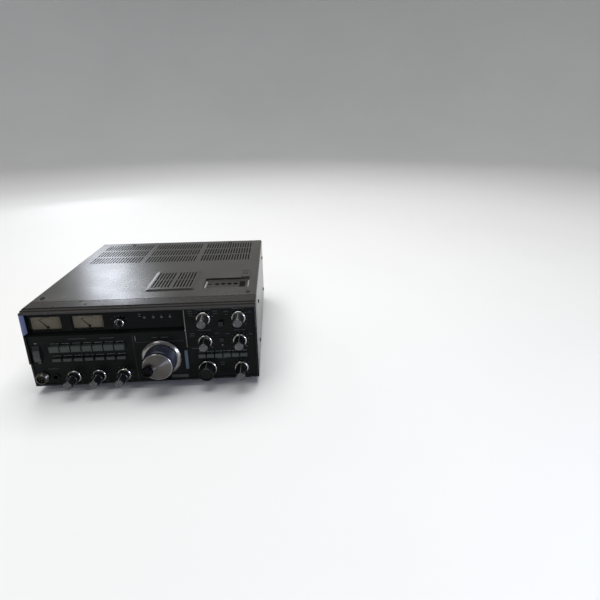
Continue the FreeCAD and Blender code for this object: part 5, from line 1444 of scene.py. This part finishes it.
    def window(self) -> None:
        """Print the marks on the window, round the selector and over the lamps."""
        piece = Piece("window_prints", "cabinet", "panel_black")
        spot, turn = seat_of("meter_selector_knob"), math.radians(self.selector_turn)
        arc = ARC.grow(Count=self.selector_marks, Radius=self.selector_scale, Width=0.35,
                       Length=1.3, Thick=0.06, Start=-turn / 2, Sweep=turn,
                       Finish=Finishes.INK_FAINT)
        piece.add(arc, Way.FRONT, at(spot.x, WINDOW, spot.z))
        far = self.selector_scale + 2.4
        for index in range(self.selector_marks):
            angle = turn * (index / (self.selector_marks - 1) - 0.5)
            piece.add(words(str(index + 1), 1.5, Finishes.INK_DIM), Way.FRONT,
                      at(spot.x + far * math.sin(angle), WINDOW,
                         spot.z + far * math.cos(angle)))
        for index, (x, z) in enumerate(self.lamps, start=1):
            piece.add(words(str(index), 1.4, Finishes.INK_DIM), Way.FRONT,
                      at(x, WINDOW, z + 3.6))
        piece.close()

    def build(self) -> None:
        """Make every print, line, trim and lamp."""
        self.panel()
        self.frames()
        self.trim()
        self.indicators()
        self.window()


@dataclass
class Presets:
    """What lies in the well: the preset controls' collars, a slit, a pad, and two pale strips of
    painted highlight on its slopes.
    """

    first: float = 99.9         # the first hole, across
    pitch: float = 10.1
    count: int = 4
    y: float = 91.0
    floor: float = 118.5
    radius: float = 2.9         # of a hole
    spare: float = 11.5         # from the first hole to the slit at its left
    pad: tuple[float, float, float, float] = (141.4, 83.0, 9.5, 32.0)   # middle and size
    pad_thick: float = 0.7
    pad_ribs: int = 6
    walls: tuple[float, float] = (81.4, 153.0)      # the opening's left and right edge
    middle: float = 83.0        # of the opening, from front to back
    slope: float = 40.0         # of its walls, from upright
    deep: float = 3.2           # from the floor to the cover's underside
    # width, length and thickness of a strip of painted highlight
    runner: tuple[float, float, float] = (3.2, 33.0, 0.3)

    def collar(self) -> Mesh:
        """Make the collar of one hole, closed below by its sunk control.

        Returns:
            The mesh.
        """
        wide = self.radius + 1.0
        inner = self.radius - 0.1
        return turned(band(Finishes.INSULATOR, (0, -2.4), (inner - 0.4, -2.4),
                           (inner - 0.2, 0.1), (inner, 0.3), (wide - 0.2, 0.3), (wide, 0.15),
                           (wide, 0.0), (inner, 0.0), (inner, -3.0), (0, -3.0)), sides=32)

    def build(self) -> None:
        """Make the collars, the slit's lip, the ribbed pad and the strips of painted highlight."""
        black = Finishes.INSULATOR
        spots = [(at(self.first + self.pitch * i, self.y, self.floor), Way.UP)
                 for i in range(self.count)]
        piece = Piece("preset_collars", "cabinet", "well_plastic")
        piece.add(SCATTER.spread(self.collar(), spots, black))
        half, lip = self.radius + 0.5, 0.5
        slit = at(self.first - self.spare, self.y, self.floor)
        piece.add(plate([oblong(-half, -0.8 - lip, half, 0.8 + lip),
                         oblong(-half + lip, -0.8, half - lip, 0.8)], 0.3, black, 0.08),
                  Way.UP, slit)
        x, y, width, length = self.pad
        spot = at(x, y, self.floor)
        piece.add(bar(width, length, self.pad_thick, black, 0.2), Way.UP, spot)
        ribs = ROWS.grow(Columns=self.pad_ribs, Rows=1, Width=width - 2.2, Height=0.0,
                         Block_wide=0.8, Block_tall=length - 1.4, Thick=0.8, Finish=black)
        piece.add(ribs, Way.UP, spot, lift(self.pad_thick + 0.2))
        piece.close()
        self.runners()

    def runners(self) -> None:
        """Lay a pale strip of painted highlight on the well's left and right slopes."""
        piece = Piece("well_runners", "cabinet", "well_plastic")
        lean = math.radians(90 - self.slope)
        half = self.deep * math.tan(math.radians(self.slope)) / 2
        height = self.floor + self.deep / 2
        for edge, side in zip(self.walls, (1, -1)):
            piece.add(bar(*self.runner, Finishes.RUNNER, 0.08), Way.UP,
                      at(edge + side * half, self.middle, height),
                      Matrix.Rotation(side * lean, 4, "Y"))
        piece.close()


@dataclass
class CheekLiners:
    """Satin strips of painted reflection, pale blue grey, on the cheeks' flared inner faces, beside
    the window.
    """

    low: float = 86.5
    high: float = 117.5
    front: float = -1.9
    back: float = 6.4
    face: float = 166.0         # the inner face at the lip, from the middle
    deep: float = 163.9         # and at the window
    thick: float = 0.25

    def build(self) -> None:
        """Make one strip of painted reflection on each cheek."""
        piece = Piece("cheek_liners", "cabinet", "bezel_plastic")
        run = WINDOW + LIP
        lean = math.atan2(self.face - self.deep, run)
        middle = (self.front + self.back) / 2
        share = (middle + LIP) / run
        x = self.face - (self.face - self.deep) * share
        for way, side in ((Way.RIGHT, -1), (Way.LEFT, 1)):
            strip = bar((self.back - self.front) / math.cos(lean), self.high - self.low,
                        self.thick, Finishes.LINER, 0.08)
            piece.add(strip, way, at(side * x, middle, (self.low + self.high) / 2),
                      Matrix.Rotation(side * lean, 4, "Y"))
        piece.close()


@dataclass
class HatchGrip:
    """Black cords laid in the grooves of the hatch lid's thumb grip."""

    first: float = 141.6        # the first cord, across
    pitch: float = 2.4
    count: int = 4
    y: float = 121.0
    width: float = 1.16
    length: float = 7.0
    thick: float = 0.86
    under: float = 124.08       # the cords' underside

    def build(self) -> None:
        """Lay one cord in each groove."""
        piece = Piece("hatch_grip_cords", "hatch_lid", "foot_rubber")
        for i in range(self.count):
            piece.add(bar(self.width, self.length, self.thick, Finishes.INSULATOR, 0.1),
                      Way.UP, at(self.first + self.pitch * i, self.y, self.under))
        piece.close()


@dataclass
class Screens:
    """Black wire cloth under the vents and behind the speaker's slots: a dust screen, and painted
    shade that keeps the inside of the case dark.

    The real cloth has wires about 0.3 mm thick; they are drawn coarser here, and as close.
    """

    pitch: float = 1.2
    wire: float = 1.0
    thick: float = 0.3
    # middle across, middle back, width, length, underside
    vents: tuple[tuple[float, float, float, float, float], ...] = (
        (-101.3, 249.3, 92.0, 111.6, 122.2), (0.0, 249.3, 92.0, 111.6, 122.2),
        (101.3, 249.3, 92.0, 111.6, 122.2))
    speaker: tuple[float, float, float, float, float] = (31.0, 98.0, 68.0, 68.0, 123.5)

    def cloth(self, width: float, length: float) -> Mesh:
        """Weave one rectangle.

        Args:
            width: across.
            length: along.

        Returns:
            The mesh, on its own z = 0.
        """
        columns, rows = round(width / self.pitch), round(length / self.pitch)
        warp = ROWS.grow(Columns=columns, Rows=1, Width=width - self.wire, Height=0.0,
                         Block_wide=self.wire, Block_tall=length, Thick=self.thick,
                         Finish=Finishes.SCREEN)
        weft = ROWS.grow(Columns=1, Rows=rows, Width=0.0, Height=length - self.wire,
                         Block_wide=width, Block_tall=self.wire, Thick=self.thick,
                         Finish=Finishes.SCREEN)
        warp.transform(lift(0.15))
        weft.transform(lift(0.4))
        return merged(warp, weft)

    def build(self) -> None:
        """Lay every screen of black cloth and painted shade."""
        piece = Piece("cover_screens", "cabinet", "speaker_black")
        for x, y, width, length, under in (*self.vents, self.speaker):
            piece.add(self.cloth(width, length), Way.UP, at(x, y, under))
        piece.close()


@dataclass
class FrontSockets:
    """The microphone socket and the headphone jack."""

    mic_radius: float = 8.0
    mic_stand: float = 6.5      # how far it stands out of the panel
    mic_depth: float = 11.0
    nut: float = 9.2            # radius of its nut
    thread: float = 0.7         # from crest to crest
    pins: int = 7               # round the middle one
    pin_circle: float = 4.6
    pin_foot: float = 2.4       # where the pins stand, in front of the panel
    jack_depth: float = 27.0

    def microphone(self) -> None:
        """Make the screwed socket with its insulator and pins."""
        spot = seat_of("mic_connector")
        metal, wide, nut, tip = Finishes.NICKEL_DULL, self.mic_radius, self.nut, self.mic_stand
        rings = band(metal, (0, -self.mic_depth), (6.4, -self.mic_depth), (6.4, -3), (wide, -3),
                     (wide, 0), (nut, 0), (nut, 1.5), (nut - 0.5, 2.0), (wide - 0.5, 2.0))
        height = 2.3
        while height < tip - 0.9:
            rings += band(metal, (wide - 0.05, height), (wide - 0.4, height + self.thread / 2))
            height += self.thread
        rings += band(metal, (wide - 0.1, tip - 0.5), (wide - 0.4, tip), (6.7, tip),
                      (6.5, tip - 0.25))
        rings += band(Finishes.INSULATOR, (6.5, 2.6), (6.2, 2.5), (0, 2.5))
        piece = Piece("mic_connector_turned", "cabinet", "connector_metal", ["mic_connector"])
        piece.add(turned(rings), Way.FRONT, at(spot.x, PANEL, spot.z))
        pin = turned(band(Finishes.PIN, (0, 0), (0.75, 0), (0.75, 1.5), (0.45, 1.9), (0, 2.0)),
                     sides=12)
        places = [(0.0, 0.0), *circle(self.pin_circle, steps=self.pins)]
        spots = [(at(spot.x + x, PANEL - self.pin_foot, spot.z + z), Way.FRONT)
                 for x, z in places]
        piece.add(SCATTER.spread(pin, spots, Finishes.PIN))
        piece.close()

    def headphones(self) -> None:
        """Make the jack's ring nut, barrel and body, all of black phenolic."""
        spot = seat_of("phones_jack")
        back = -self.jack_depth
        rings = band(Finishes.INSULATOR, (0, back), (7, back), (7, -3), (4.6, -3), (4.6, 0),
                     (6.0, 0), (6.0, 1.2), (5.4, 1.8), (4.4, 1.8), (4.2, 1.55), (3.7, 1.55),
                     (3.25, 1.3), (3.25, back + 3), (0, back + 3))
        piece = Piece("phones_jack_turned", "cabinet", "connector_metal", ["phones_jack"])
        piece.add(turned(rings), Way.FRONT, at(spot.x, PANEL, spot.z))
        piece.close()

    def build(self) -> None:
        """Make both."""
        self.microphone()
        self.headphones()


@dataclass
class RearSockets:
    """The sockets and terminals at the rear, in the places and sizes of the CAD's own."""

    back: float = 319.0         # the rear panel's face
    # middle across, then middle up
    antenna: tuple[float, tuple[float, ...]] = (-140.0, (76.0, 106.0))
    jacks: tuple[float, tuple[float, ...]] = (-100.0, (74.0, 91.0, 108.0))
    accessory: tuple[float, float] = (-100.0, 24.0)
    inlet: tuple[float, float] = (-62.0, 24.0)
    fuse: tuple[float, float] = (-62.0, 74.0)
    ground: tuple[float, float] = (-62.0, 102.0)
    screw_pitch: float = 18.4   # from screw to screw on an antenna socket's flange
    coax_pitch: float = 1.06    # from crest to crest of its thread
    stud_pitch: float = 0.8     # and of the ground stud's

    def threaded(self, radius: float, low: float, high: float, pitch: float,
                 finish: Finish) -> list[Ring]:
        """List the rings of a thread.

        Args:
            radius: of its crests.
            low: where it starts.
            high: where it ends.
            pitch: from crest to crest.
            finish: its finish.

        Returns:
            The rings, from low to high.
        """
        rings, height = [], low
        while height + pitch < high:
            rings += band(finish, (radius, height), (radius - pitch * 0.4, height + pitch / 2))
            height += pitch
        return rings + band(finish, (radius, high))

    def antenna_socket(self, piece: Piece, x: float, z: float) -> None:
        """Add one coaxial socket on its square flange.

        Args:
            piece: what it becomes part of.
            x: its middle.
            z: its middle.
        """
        metal, steel = Finishes.NICKEL, Finishes.STEEL_NUT
        spot, out = at(x, self.back, z), self.screw_pitch / 2
        corners = [(out * i, out * k) for i in (-1, 1) for k in (-1, 1)]
        holes = [circle(1.6, across, up, 16) for across, up in corners]
        piece.add(plate([oblong(-12.5, -12.5, 12.5, 12.5), *holes], 2.0, metal, 0.3), Way.REAR,
                  spot)
        rings = [*band(metal, (0, -7.4), (5.9, -7.4), (5.9, 1.0), (7.4, 1.0)),
                 *self.threaded(7.9, 2.6, 15.0, self.coax_pitch, metal),
                 *band(metal, (7.4, 16.0), (6.5, 16.0), (6.4, 15.6)),
                 *band(Finishes.DIELECTRIC, (6.4, 6.0), (3.2, 6.0), (3.2, 13.8), (3.0, 14.0)),
                 *band(Finishes.PIN, (2.4, 14.0), (2.05, 13.7), (2.05, 3.0), (0, 3.0))]
        piece.add(turned(rings), Way.REAR, spot)
        screw = turned(band(steel, (0, -0.6), (2.5, -0.6), (2.5, 0.3), (2.2, 0.9), (1.2, 1.25),
                            (0, 1.3)), sides=20)
        spots = [(at(x + across, self.back + 2.0, z + up), Way.REAR) for across, up in corners]
        piece.add(SCATTER.spread(screw, spots, steel))

    def jack(self, piece: Piece, x: float, z: float) -> None:
        """Add one 6.35 mm jack.

        Args:
            piece: what it becomes part of.
            x: its middle.
            z: its middle.
        """
        dark = Finishes.INSULATOR
        rings = [*band(dark, (0, -25.4), (7, -25.4), (7, -1.6)),
                 *band(Finishes.STEEL_NUT, (4.6, -1.6), (4.6, 0), (6.0, 0), (6.0, 1.3),
                       (5.6, 1.75), (4.5, 1.8), (4.4, 1.5), (3.6, 1.5)),
                 *band(dark, (3.25, 1.2), (3.25, -23.5), (0, -23.5))]
        piece.add(turned(rings, sides=48), Way.REAR, at(x, self.back, z))

    def accessory_socket(self, piece: Piece) -> None:
        """Add the round socket with its ring of contacts.

        Args:
            piece: what it becomes part of.
        """
        x, z = self.accessory
        rings = [*band(Finishes.INSULATOR, (0, -9.4), (7.5, -9.4)),
                 *band(Finishes.STEEL_NUT, (7.5, 0), (10.5, 0), (10.5, 1.5), (10.1, 2.0),
                       (7.6, 2.0), (7.5, 3.7), (7.2, 4.0), (6.2, 4.0), (6.0, 3.7)),
                 *band(Finishes.INSULATOR, (6.0, 0.6), (0, 0.6))]
        piece.add(turned(rings, sides=48), Way.REAR, at(x, self.back, z))
        pin = turned(band(Finishes.PIN, (0, 0), (0.6, 0), (0.6, 1.9), (0.35, 2.4), (0, 2.5)),
                     sides=10)
        spots = [(at(x + 3.9 * math.cos(math.radians(a)), self.back + 0.6,
                     z + 3.9 * math.sin(math.radians(a))), Way.REAR)
                 for a in range(-50, 231, 40)]
        piece.add(SCATTER.spread(pin, spots, Finishes.PIN))

    def power_inlet(self, piece: Piece) -> None:
        """Add the inlet: a flange, a shroud, its filled bottom and two rows of flat pins.

        Args:
            piece: what it becomes part of.
        """
        dark = Finishes.INSULATOR
        spot = at(self.inlet[0], self.back, self.inlet[1])
        piece.add(plate([oblong(-12, -9, 12, 9)], 2.0, dark, 0.3), Way.REAR, spot)
        case = plate([oblong(-10, -7, 10, 7), oblong(-8.6, -5.6, 8.6, 5.6)], 22.0, dark, 0.3)
        piece.add(case, Way.REAR, spot, lift(-14.0))
        piece.add(bar(18.4, 12.4, 14.4, dark), Way.REAR, spot, lift(-13.6))
        for x in (-5.4, -1.8, 1.8, 5.4):
            for z in (-2.6, 2.6):
                piece.add(bar(0.9, 2.6, 6.4, Finishes.PIN, 0.2), Way.REAR, spot,
                          Matrix.Translation((x, z, 0.6)))

    def fuse_holder(self, piece: Piece) -> None:
        """Add the fuse holder with its ribbed cap.

        Args:
            piece: what it becomes part of.
        """
        dark = Finishes.INSULATOR
        spot = at(self.fuse[0], self.back, self.fuse[1])
        rings = band(dark, (0, -25.4), (6, -25.4), (6, 0), (7, 0), (7, 3.2), (6.4, 3.6),
                     (6.4, 10.6), (5.9, 11.6), (5.0, 12.0), (0, 12.0))
        piece.add(turned(rings, sides=48), Way.REAR, spot)
        ribs = RIBS.grow(Count=22, Radius=6.35, Width=0.9, Length=6.4, Lean=0.0, Finish=dark)
        piece.add(ribs, Way.REAR, spot, lift(7.1))
        piece.add(bar(1.2, 7.0, 0.5, Finishes.PIN, 0.15), Way.REAR, spot, lift(11.6))

    def ground_post(self, piece: Piece) -> None:
        """Add the ground terminal: a threaded stud, a washer and a six sided nut.

        Args:
            piece: what it becomes part of.
        """
        metal = Finishes.STEEL_NUT
        spot = at(self.ground[0], self.back, self.ground[1])
        stud = [*band(metal, (0, 0)), *self.threaded(2.5, 0.4, 15.4, self.stud_pitch, metal),
                *band(metal, (2.0, 16.0), (0, 16.0))]
        washer = band(metal, (2.4, 0), (5.4, 0), (5.4, 0.6), (5.0, 0.8), (2.4, 0.8))
        nut = band(metal, (2.4, 0.8), (5.0, 0.8), (5.5, 1.1), (5.5, 4.6), (4.9, 5.0), (2.4, 5.0))
        piece.add(turned(stud, sides=32), Way.REAR, spot)
        piece.add(turned(washer, sides=40, closed=True), Way.REAR, spot)
        piece.add(turned(nut, sides=6, closed=True), Way.REAR, spot)

    def build(self) -> None:
        """Make every socket as one piece on the rear panel."""
        piece = Piece("rear_sockets_fitted", "cabinet", "connector_metal", ["rear_sockets"])
        for z in self.antenna[1]:
            self.antenna_socket(piece, self.antenna[0], z)
        for z in self.jacks[1]:
            self.jack(piece, self.jacks[0], z)
        self.accessory_socket(piece)
        self.power_inlet(piece)
        self.fuse_holder(piece)
        self.ground_post(piece)
        piece.close()


@dataclass
class Fasteners:
    """The cross recessed pan head screws of the covers, and the rubber feet."""

    head: float = 3.2           # radius of a screw's head
    height: float = 1.6         # of the head
    shank: float = 1.5          # radius
    length: float = 5.4         # of the shank
    recess: float = 0.82        # depth of the cross
    arm: float = 0.42           # half the width of its arms
    reach: float = 1.9          # how far they go out
    foot: float = 12.0          # radius and height of a foot

    def screw(self) -> Mesh:
        """Make one screw, its seat on its own z = 0.

        Returns:
            The mesh.
        """
        finish, head, arm, reach = Finishes.SCREW, self.head, self.arm, self.reach
        floor = self.height - self.recess
        made = turned(band(finish, (0, -self.length), (self.shank, -self.length),
                           (self.shank, 0), (head, 0), (head, 0.45), (head - 0.15, 0.75),
                           (2.0, floor), (0, floor)), sides=32)
        cross = [(arm, arm), (arm, reach), (-arm, reach), (-arm, arm), (-reach, arm),
                 (-reach, -arm), (-arm, -arm), (-arm, -reach), (arm, -reach), (arm, -arm),
                 (reach, -arm), (reach, arm)]
        top = plate([circle(head - 0.02, steps=32), cross], 0.85, finish, 0.3)
        top.transform(lift(floor - 0.05))
        return finish_mesh(merged(made, top))

    def screws(self) -> None:
        """Put a screw wherever the CAD has one, its head turned outwards."""
        spots = []
        for shell in self.shells(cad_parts["screws"]):
            low = Vector([min(point[i] for point in shell) for i in range(3)])
            high = Vector([max(point[i] for point in shell) for i in range(3)])
            size, seat, head = high - low, (low + high) / 2, self.height * MM
            if size.z > size.x:
                seat.z, way = high.z - head, Way.UP
            elif seat.x > 0:
                seat.x, way = high.x - head, Way.RIGHT
            else:
                seat.x, way = low.x + head, Way.LEFT
            spots.append((seat, way))
        piece = Piece("cover_screws", "cabinet", "screw_steel", ["screws"])
        piece.add(SCATTER.spread(self.screw(), spots, Finishes.SCREW))
        piece.close()

    def shells(self, node: bpy.types.Object) -> list[list[Vector]]:
        """Split a CAD node into its separate solids.

        Args:
            node: the node.

        Returns:
            The points of each solid.
        """
        made = bmesh.new()
        made.from_mesh(node.data)
        bmesh.ops.remove_doubles(made, verts=made.verts, dist=1e-5)
        seen: set[bmesh.types.BMVert] = set()
        shells = []
        for start in made.verts:
            if start in seen:
                continue
            seen.add(start)
            stack, shell = [start], []
            while stack:
                vertex = stack.pop()
                shell.append(vertex.co.copy())
                for edge in vertex.link_edges:
                    other = edge.other_vert(vertex)
                    if other not in seen:
                        seen.add(other)
                        stack.append(other)
            shells.append(shell)
        made.free()
        return shells

    def feet(self) -> None:
        """Make the feet with a rounded rim and a screw in a recess."""
        low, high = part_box("feet")
        size = self.foot
        foot = band(Finishes.RUBBER, (0, 0), (size, 0), (size - 0.1, 1.0), (10.4, 10.2),
                    (9.9, 11.4), (9.0, size), (5.4, size), (5.0, 11.6), (4.8, 7.5))
        foot += band(Finishes.SCREW, (3.0, 7.5), (3.0, 8.6), (2.2, 9.2), (0, 9.4))
        piece = Piece("rubber_feet", "cabinet", "foot_rubber", ["feet"])
        reach = size * MM
        for x in (low.x + reach, high.x - reach):
            for y in (low.y + reach, high.y - reach):
                piece.add(turned(foot, sides=48), Way.DOWN, Vector((x, y, FLOOR)))
        piece.close()

    def build(self) -> None:
        """Make the screws and the feet."""
        self.screws()
        self.feet()


# Studio

@dataclass
class Studio:
    """Pale floor that sweeps up behind, the camera at the photo's place, and soft boxes.

    The three boxes behind glance off the cover, its step and its slopes.
    """

    focal_px: float = 418.66
    frame_px: float = 600.0
    sensor: float = 36.0
    spot: tuple[float, float, float] = (201.76, -553.40, 382.64)
    # degrees that the camera tilts up from looking down, rolls and pans
    aim: tuple[float, float, float] = (70.6661, 0.6921, -3.3829)
    axis_row: float = 260.0     # the picture row that the lens axis passes through
    sky_level: float = 0.25
    flat: float = 3300.0        # radius of the level floor
    sweep: float = 1500.0       # radius of the curve from the floor to the wall
    sweep_steps: int = 12
    wall_top: float = 3300.0
    front_wall: float = 600.0   # where its front part starts, from the middle

    def camera(self) -> None:
        """Place the camera."""
        lens = bpy.data.cameras.new("camera")
        lens.sensor_fit = "HORIZONTAL"
        lens.sensor_width = self.sensor
        lens.lens = self.focal_px / self.frame_px * self.sensor
        lens.shift_y = (self.axis_row - self.frame_px / 2) / self.frame_px
        lens.clip_start, lens.clip_end = 0.01, 50.0
        holder = bpy.data.objects.new("camera", lens)
        bpy.context.scene.collection.objects.link(holder)
        holder.location = at(*self.spot)
        holder.rotation_euler = [math.radians(angle) for angle in self.aim]
        bpy.context.scene.camera = holder

    def bowl(self, name: str, front: bool) -> bpy.types.Object:
        """Make the round floor that sweeps up into a wall, or the wall's front part alone.

        Args:
            name: its name.
            front: True for the front part of the wall, False for all the rest.

        Returns:
            The object.
        """
        paper = Finishes.FLOOR_PAPER
        rings = band(paper, (0, 0), (1500, 0), (self.flat, 0))
        for step in range(1, self.sweep_steps + 1):
            angle = math.pi / 2 * step / self.sweep_steps
            rings += band(paper, (self.flat + self.sweep * math.sin(angle),
                                  self.sweep - self.sweep * math.cos(angle)))
        rings += band(paper, (self.flat + self.sweep, self.wall_top))
        mesh = turned(rings, sides=96)
        made = bmesh.new()
        made.from_mesh(mesh)
        spare = []
        for face in made.faces:
            middle = face.calc_center_median()
            if front != (middle.y < -self.front_wall and middle.z > 1):
                spare.append(face)
        bmesh.ops.delete(made, geom=spare, context="FACES")
        made.to_mesh(mesh)
        made.free()
        mesh.transform(Way.UP.matrix(Vector((0, 0, 0))))
        holder = bpy.data.objects.new(name, mesh)
        bpy.context.scene.collection.objects.link(holder)
        return holder

    def floor(self) -> None:
        """Make the floor, with a front wall that the black panel doesn't mirror."""
        self.bowl("studio_floor", False)
        front = self.bowl("studio_front_wall", True)
        front.visible_glossy = False
        front.visible_diffuse = False

    def sky(self) -> None:
        """Make the dim even light that comes in over the wall."""
        world = bpy.data.worlds.new("studio")
        world.use_nodes = True
        back = world.node_tree.nodes["Background"]
        back.inputs["Color"].default_value = linear("#f0f3f6")
        back.inputs["Strength"].default_value = self.sky_level
        bpy.context.scene.world = world

    def light(self, name: str, spot: tuple[float, float, float],
              target: tuple[float, float, float], size: tuple[float, float], power: float,
              colour: str = "#ffffff") -> None:
        """Hang one soft box.

        Args:
            name: its name.
            spot: where it hangs, in frame metres.
            target: what it points at.
            size: its width and height.
            power: in watts.
            colour: its sRGB colour.
        """
        lamp = bpy.data.lights.new(name, "AREA")
        lamp.shape = "RECTANGLE"
        lamp.size, lamp.size_y = size
        lamp.energy = power
        lamp.color = linear(colour)[:3]
        holder = bpy.data.objects.new(name, lamp)
        holder.location = spot
        way = Vector(target) - Vector(spot)
        holder.rotation_euler = way.to_track_quat("-Z", "Y").to_euler()
        holder.visible_camera = False
        bpy.context.scene.collection.objects.link(holder)

    def build(self) -> None:
        """Make the whole studio."""
        self.camera()
        self.floor()
        self.sky()
        cover, daylight = (-0.09, -0.03, 0.14), "#eef4ff"
        self.light("overhead_box", (0.0, 0.4, 2.6), (0.0, 0.0, 0.0), (2.4, 2.4), 82.0)
        self.light("back_left_box", (-0.76, 1.55, 0.8), cover, (0.21, 0.26), 1.7, daylight)
        self.light("right_front_box", (1.02, -1.02, 0.12), (0.0, -0.16, 0.06), (0.1, 0.12),
                   10.0, "#d2ddff")
        self.light("back_slit_box", (-0.62, 1.55, 0.89), cover, (0.16, 0.05), 0.45, daylight)
        self.light("low_back_box", (-0.75, 1.41, 0.29), (-0.01, -0.06, 0.14), (0.3, 0.12), 0.5,
                   daylight)
        self.light("front_left_box", (-0.7, -1.1, 1.3), (0.0, -0.1, 0.05), (0.6, 0.4), 2.2)
        bpy.context.scene.view_settings.view_transform = "Standard"


def main() -> None:
    """Build the whole set in order and report each piece."""
    logging.basicConfig(level=logging.INFO, format="%(message)s")
    Studio().build()
    Cabinet().dress()
    for ring, knob in (("rf_gain_ring", "volume_knob"), ("tone_ring", "squelch_knob"),
                       ("carrier_ring", "mic_gain_knob")):
        RingKnob(ring).build()
        Knob(knob, skirt=6.4, root=6.4, cap=6.0, length=25.5, base=12.6, ribs=18,
             reach=25.0).build()
    for name in ("mode_knob", "shift_knob", "clarifier_knob", "blanker_knob"):
        Knob(name).build()
    Knob("offset_knob", length=27.5).build()
    Knob("channel_knob", skirt=14.0, root=12.2, cap=10.6, length=19.0, dish=1.9, ribs=32,
         cap_finish=Finishes.INSULATOR).build()
    Knob("meter_selector_knob", skirt=7.4, root=5.2, cap=4.2, length=14.0, seat=WINDOW,
         reach=12.0, ribs=14, dish=0.2, pointer=1.5, cap_finish=Finishes.INSULATOR).build()
    TuningDial().build()
    Meters().build()
    Prints().build()
    FrontSockets().build()
    Presets().build()
    HatchGrip().build()
    Screens().build()
    CheekLiners().build()
    RearSockets().build()
    Fasteners().build()


if __name__ == "__main__":
    main()
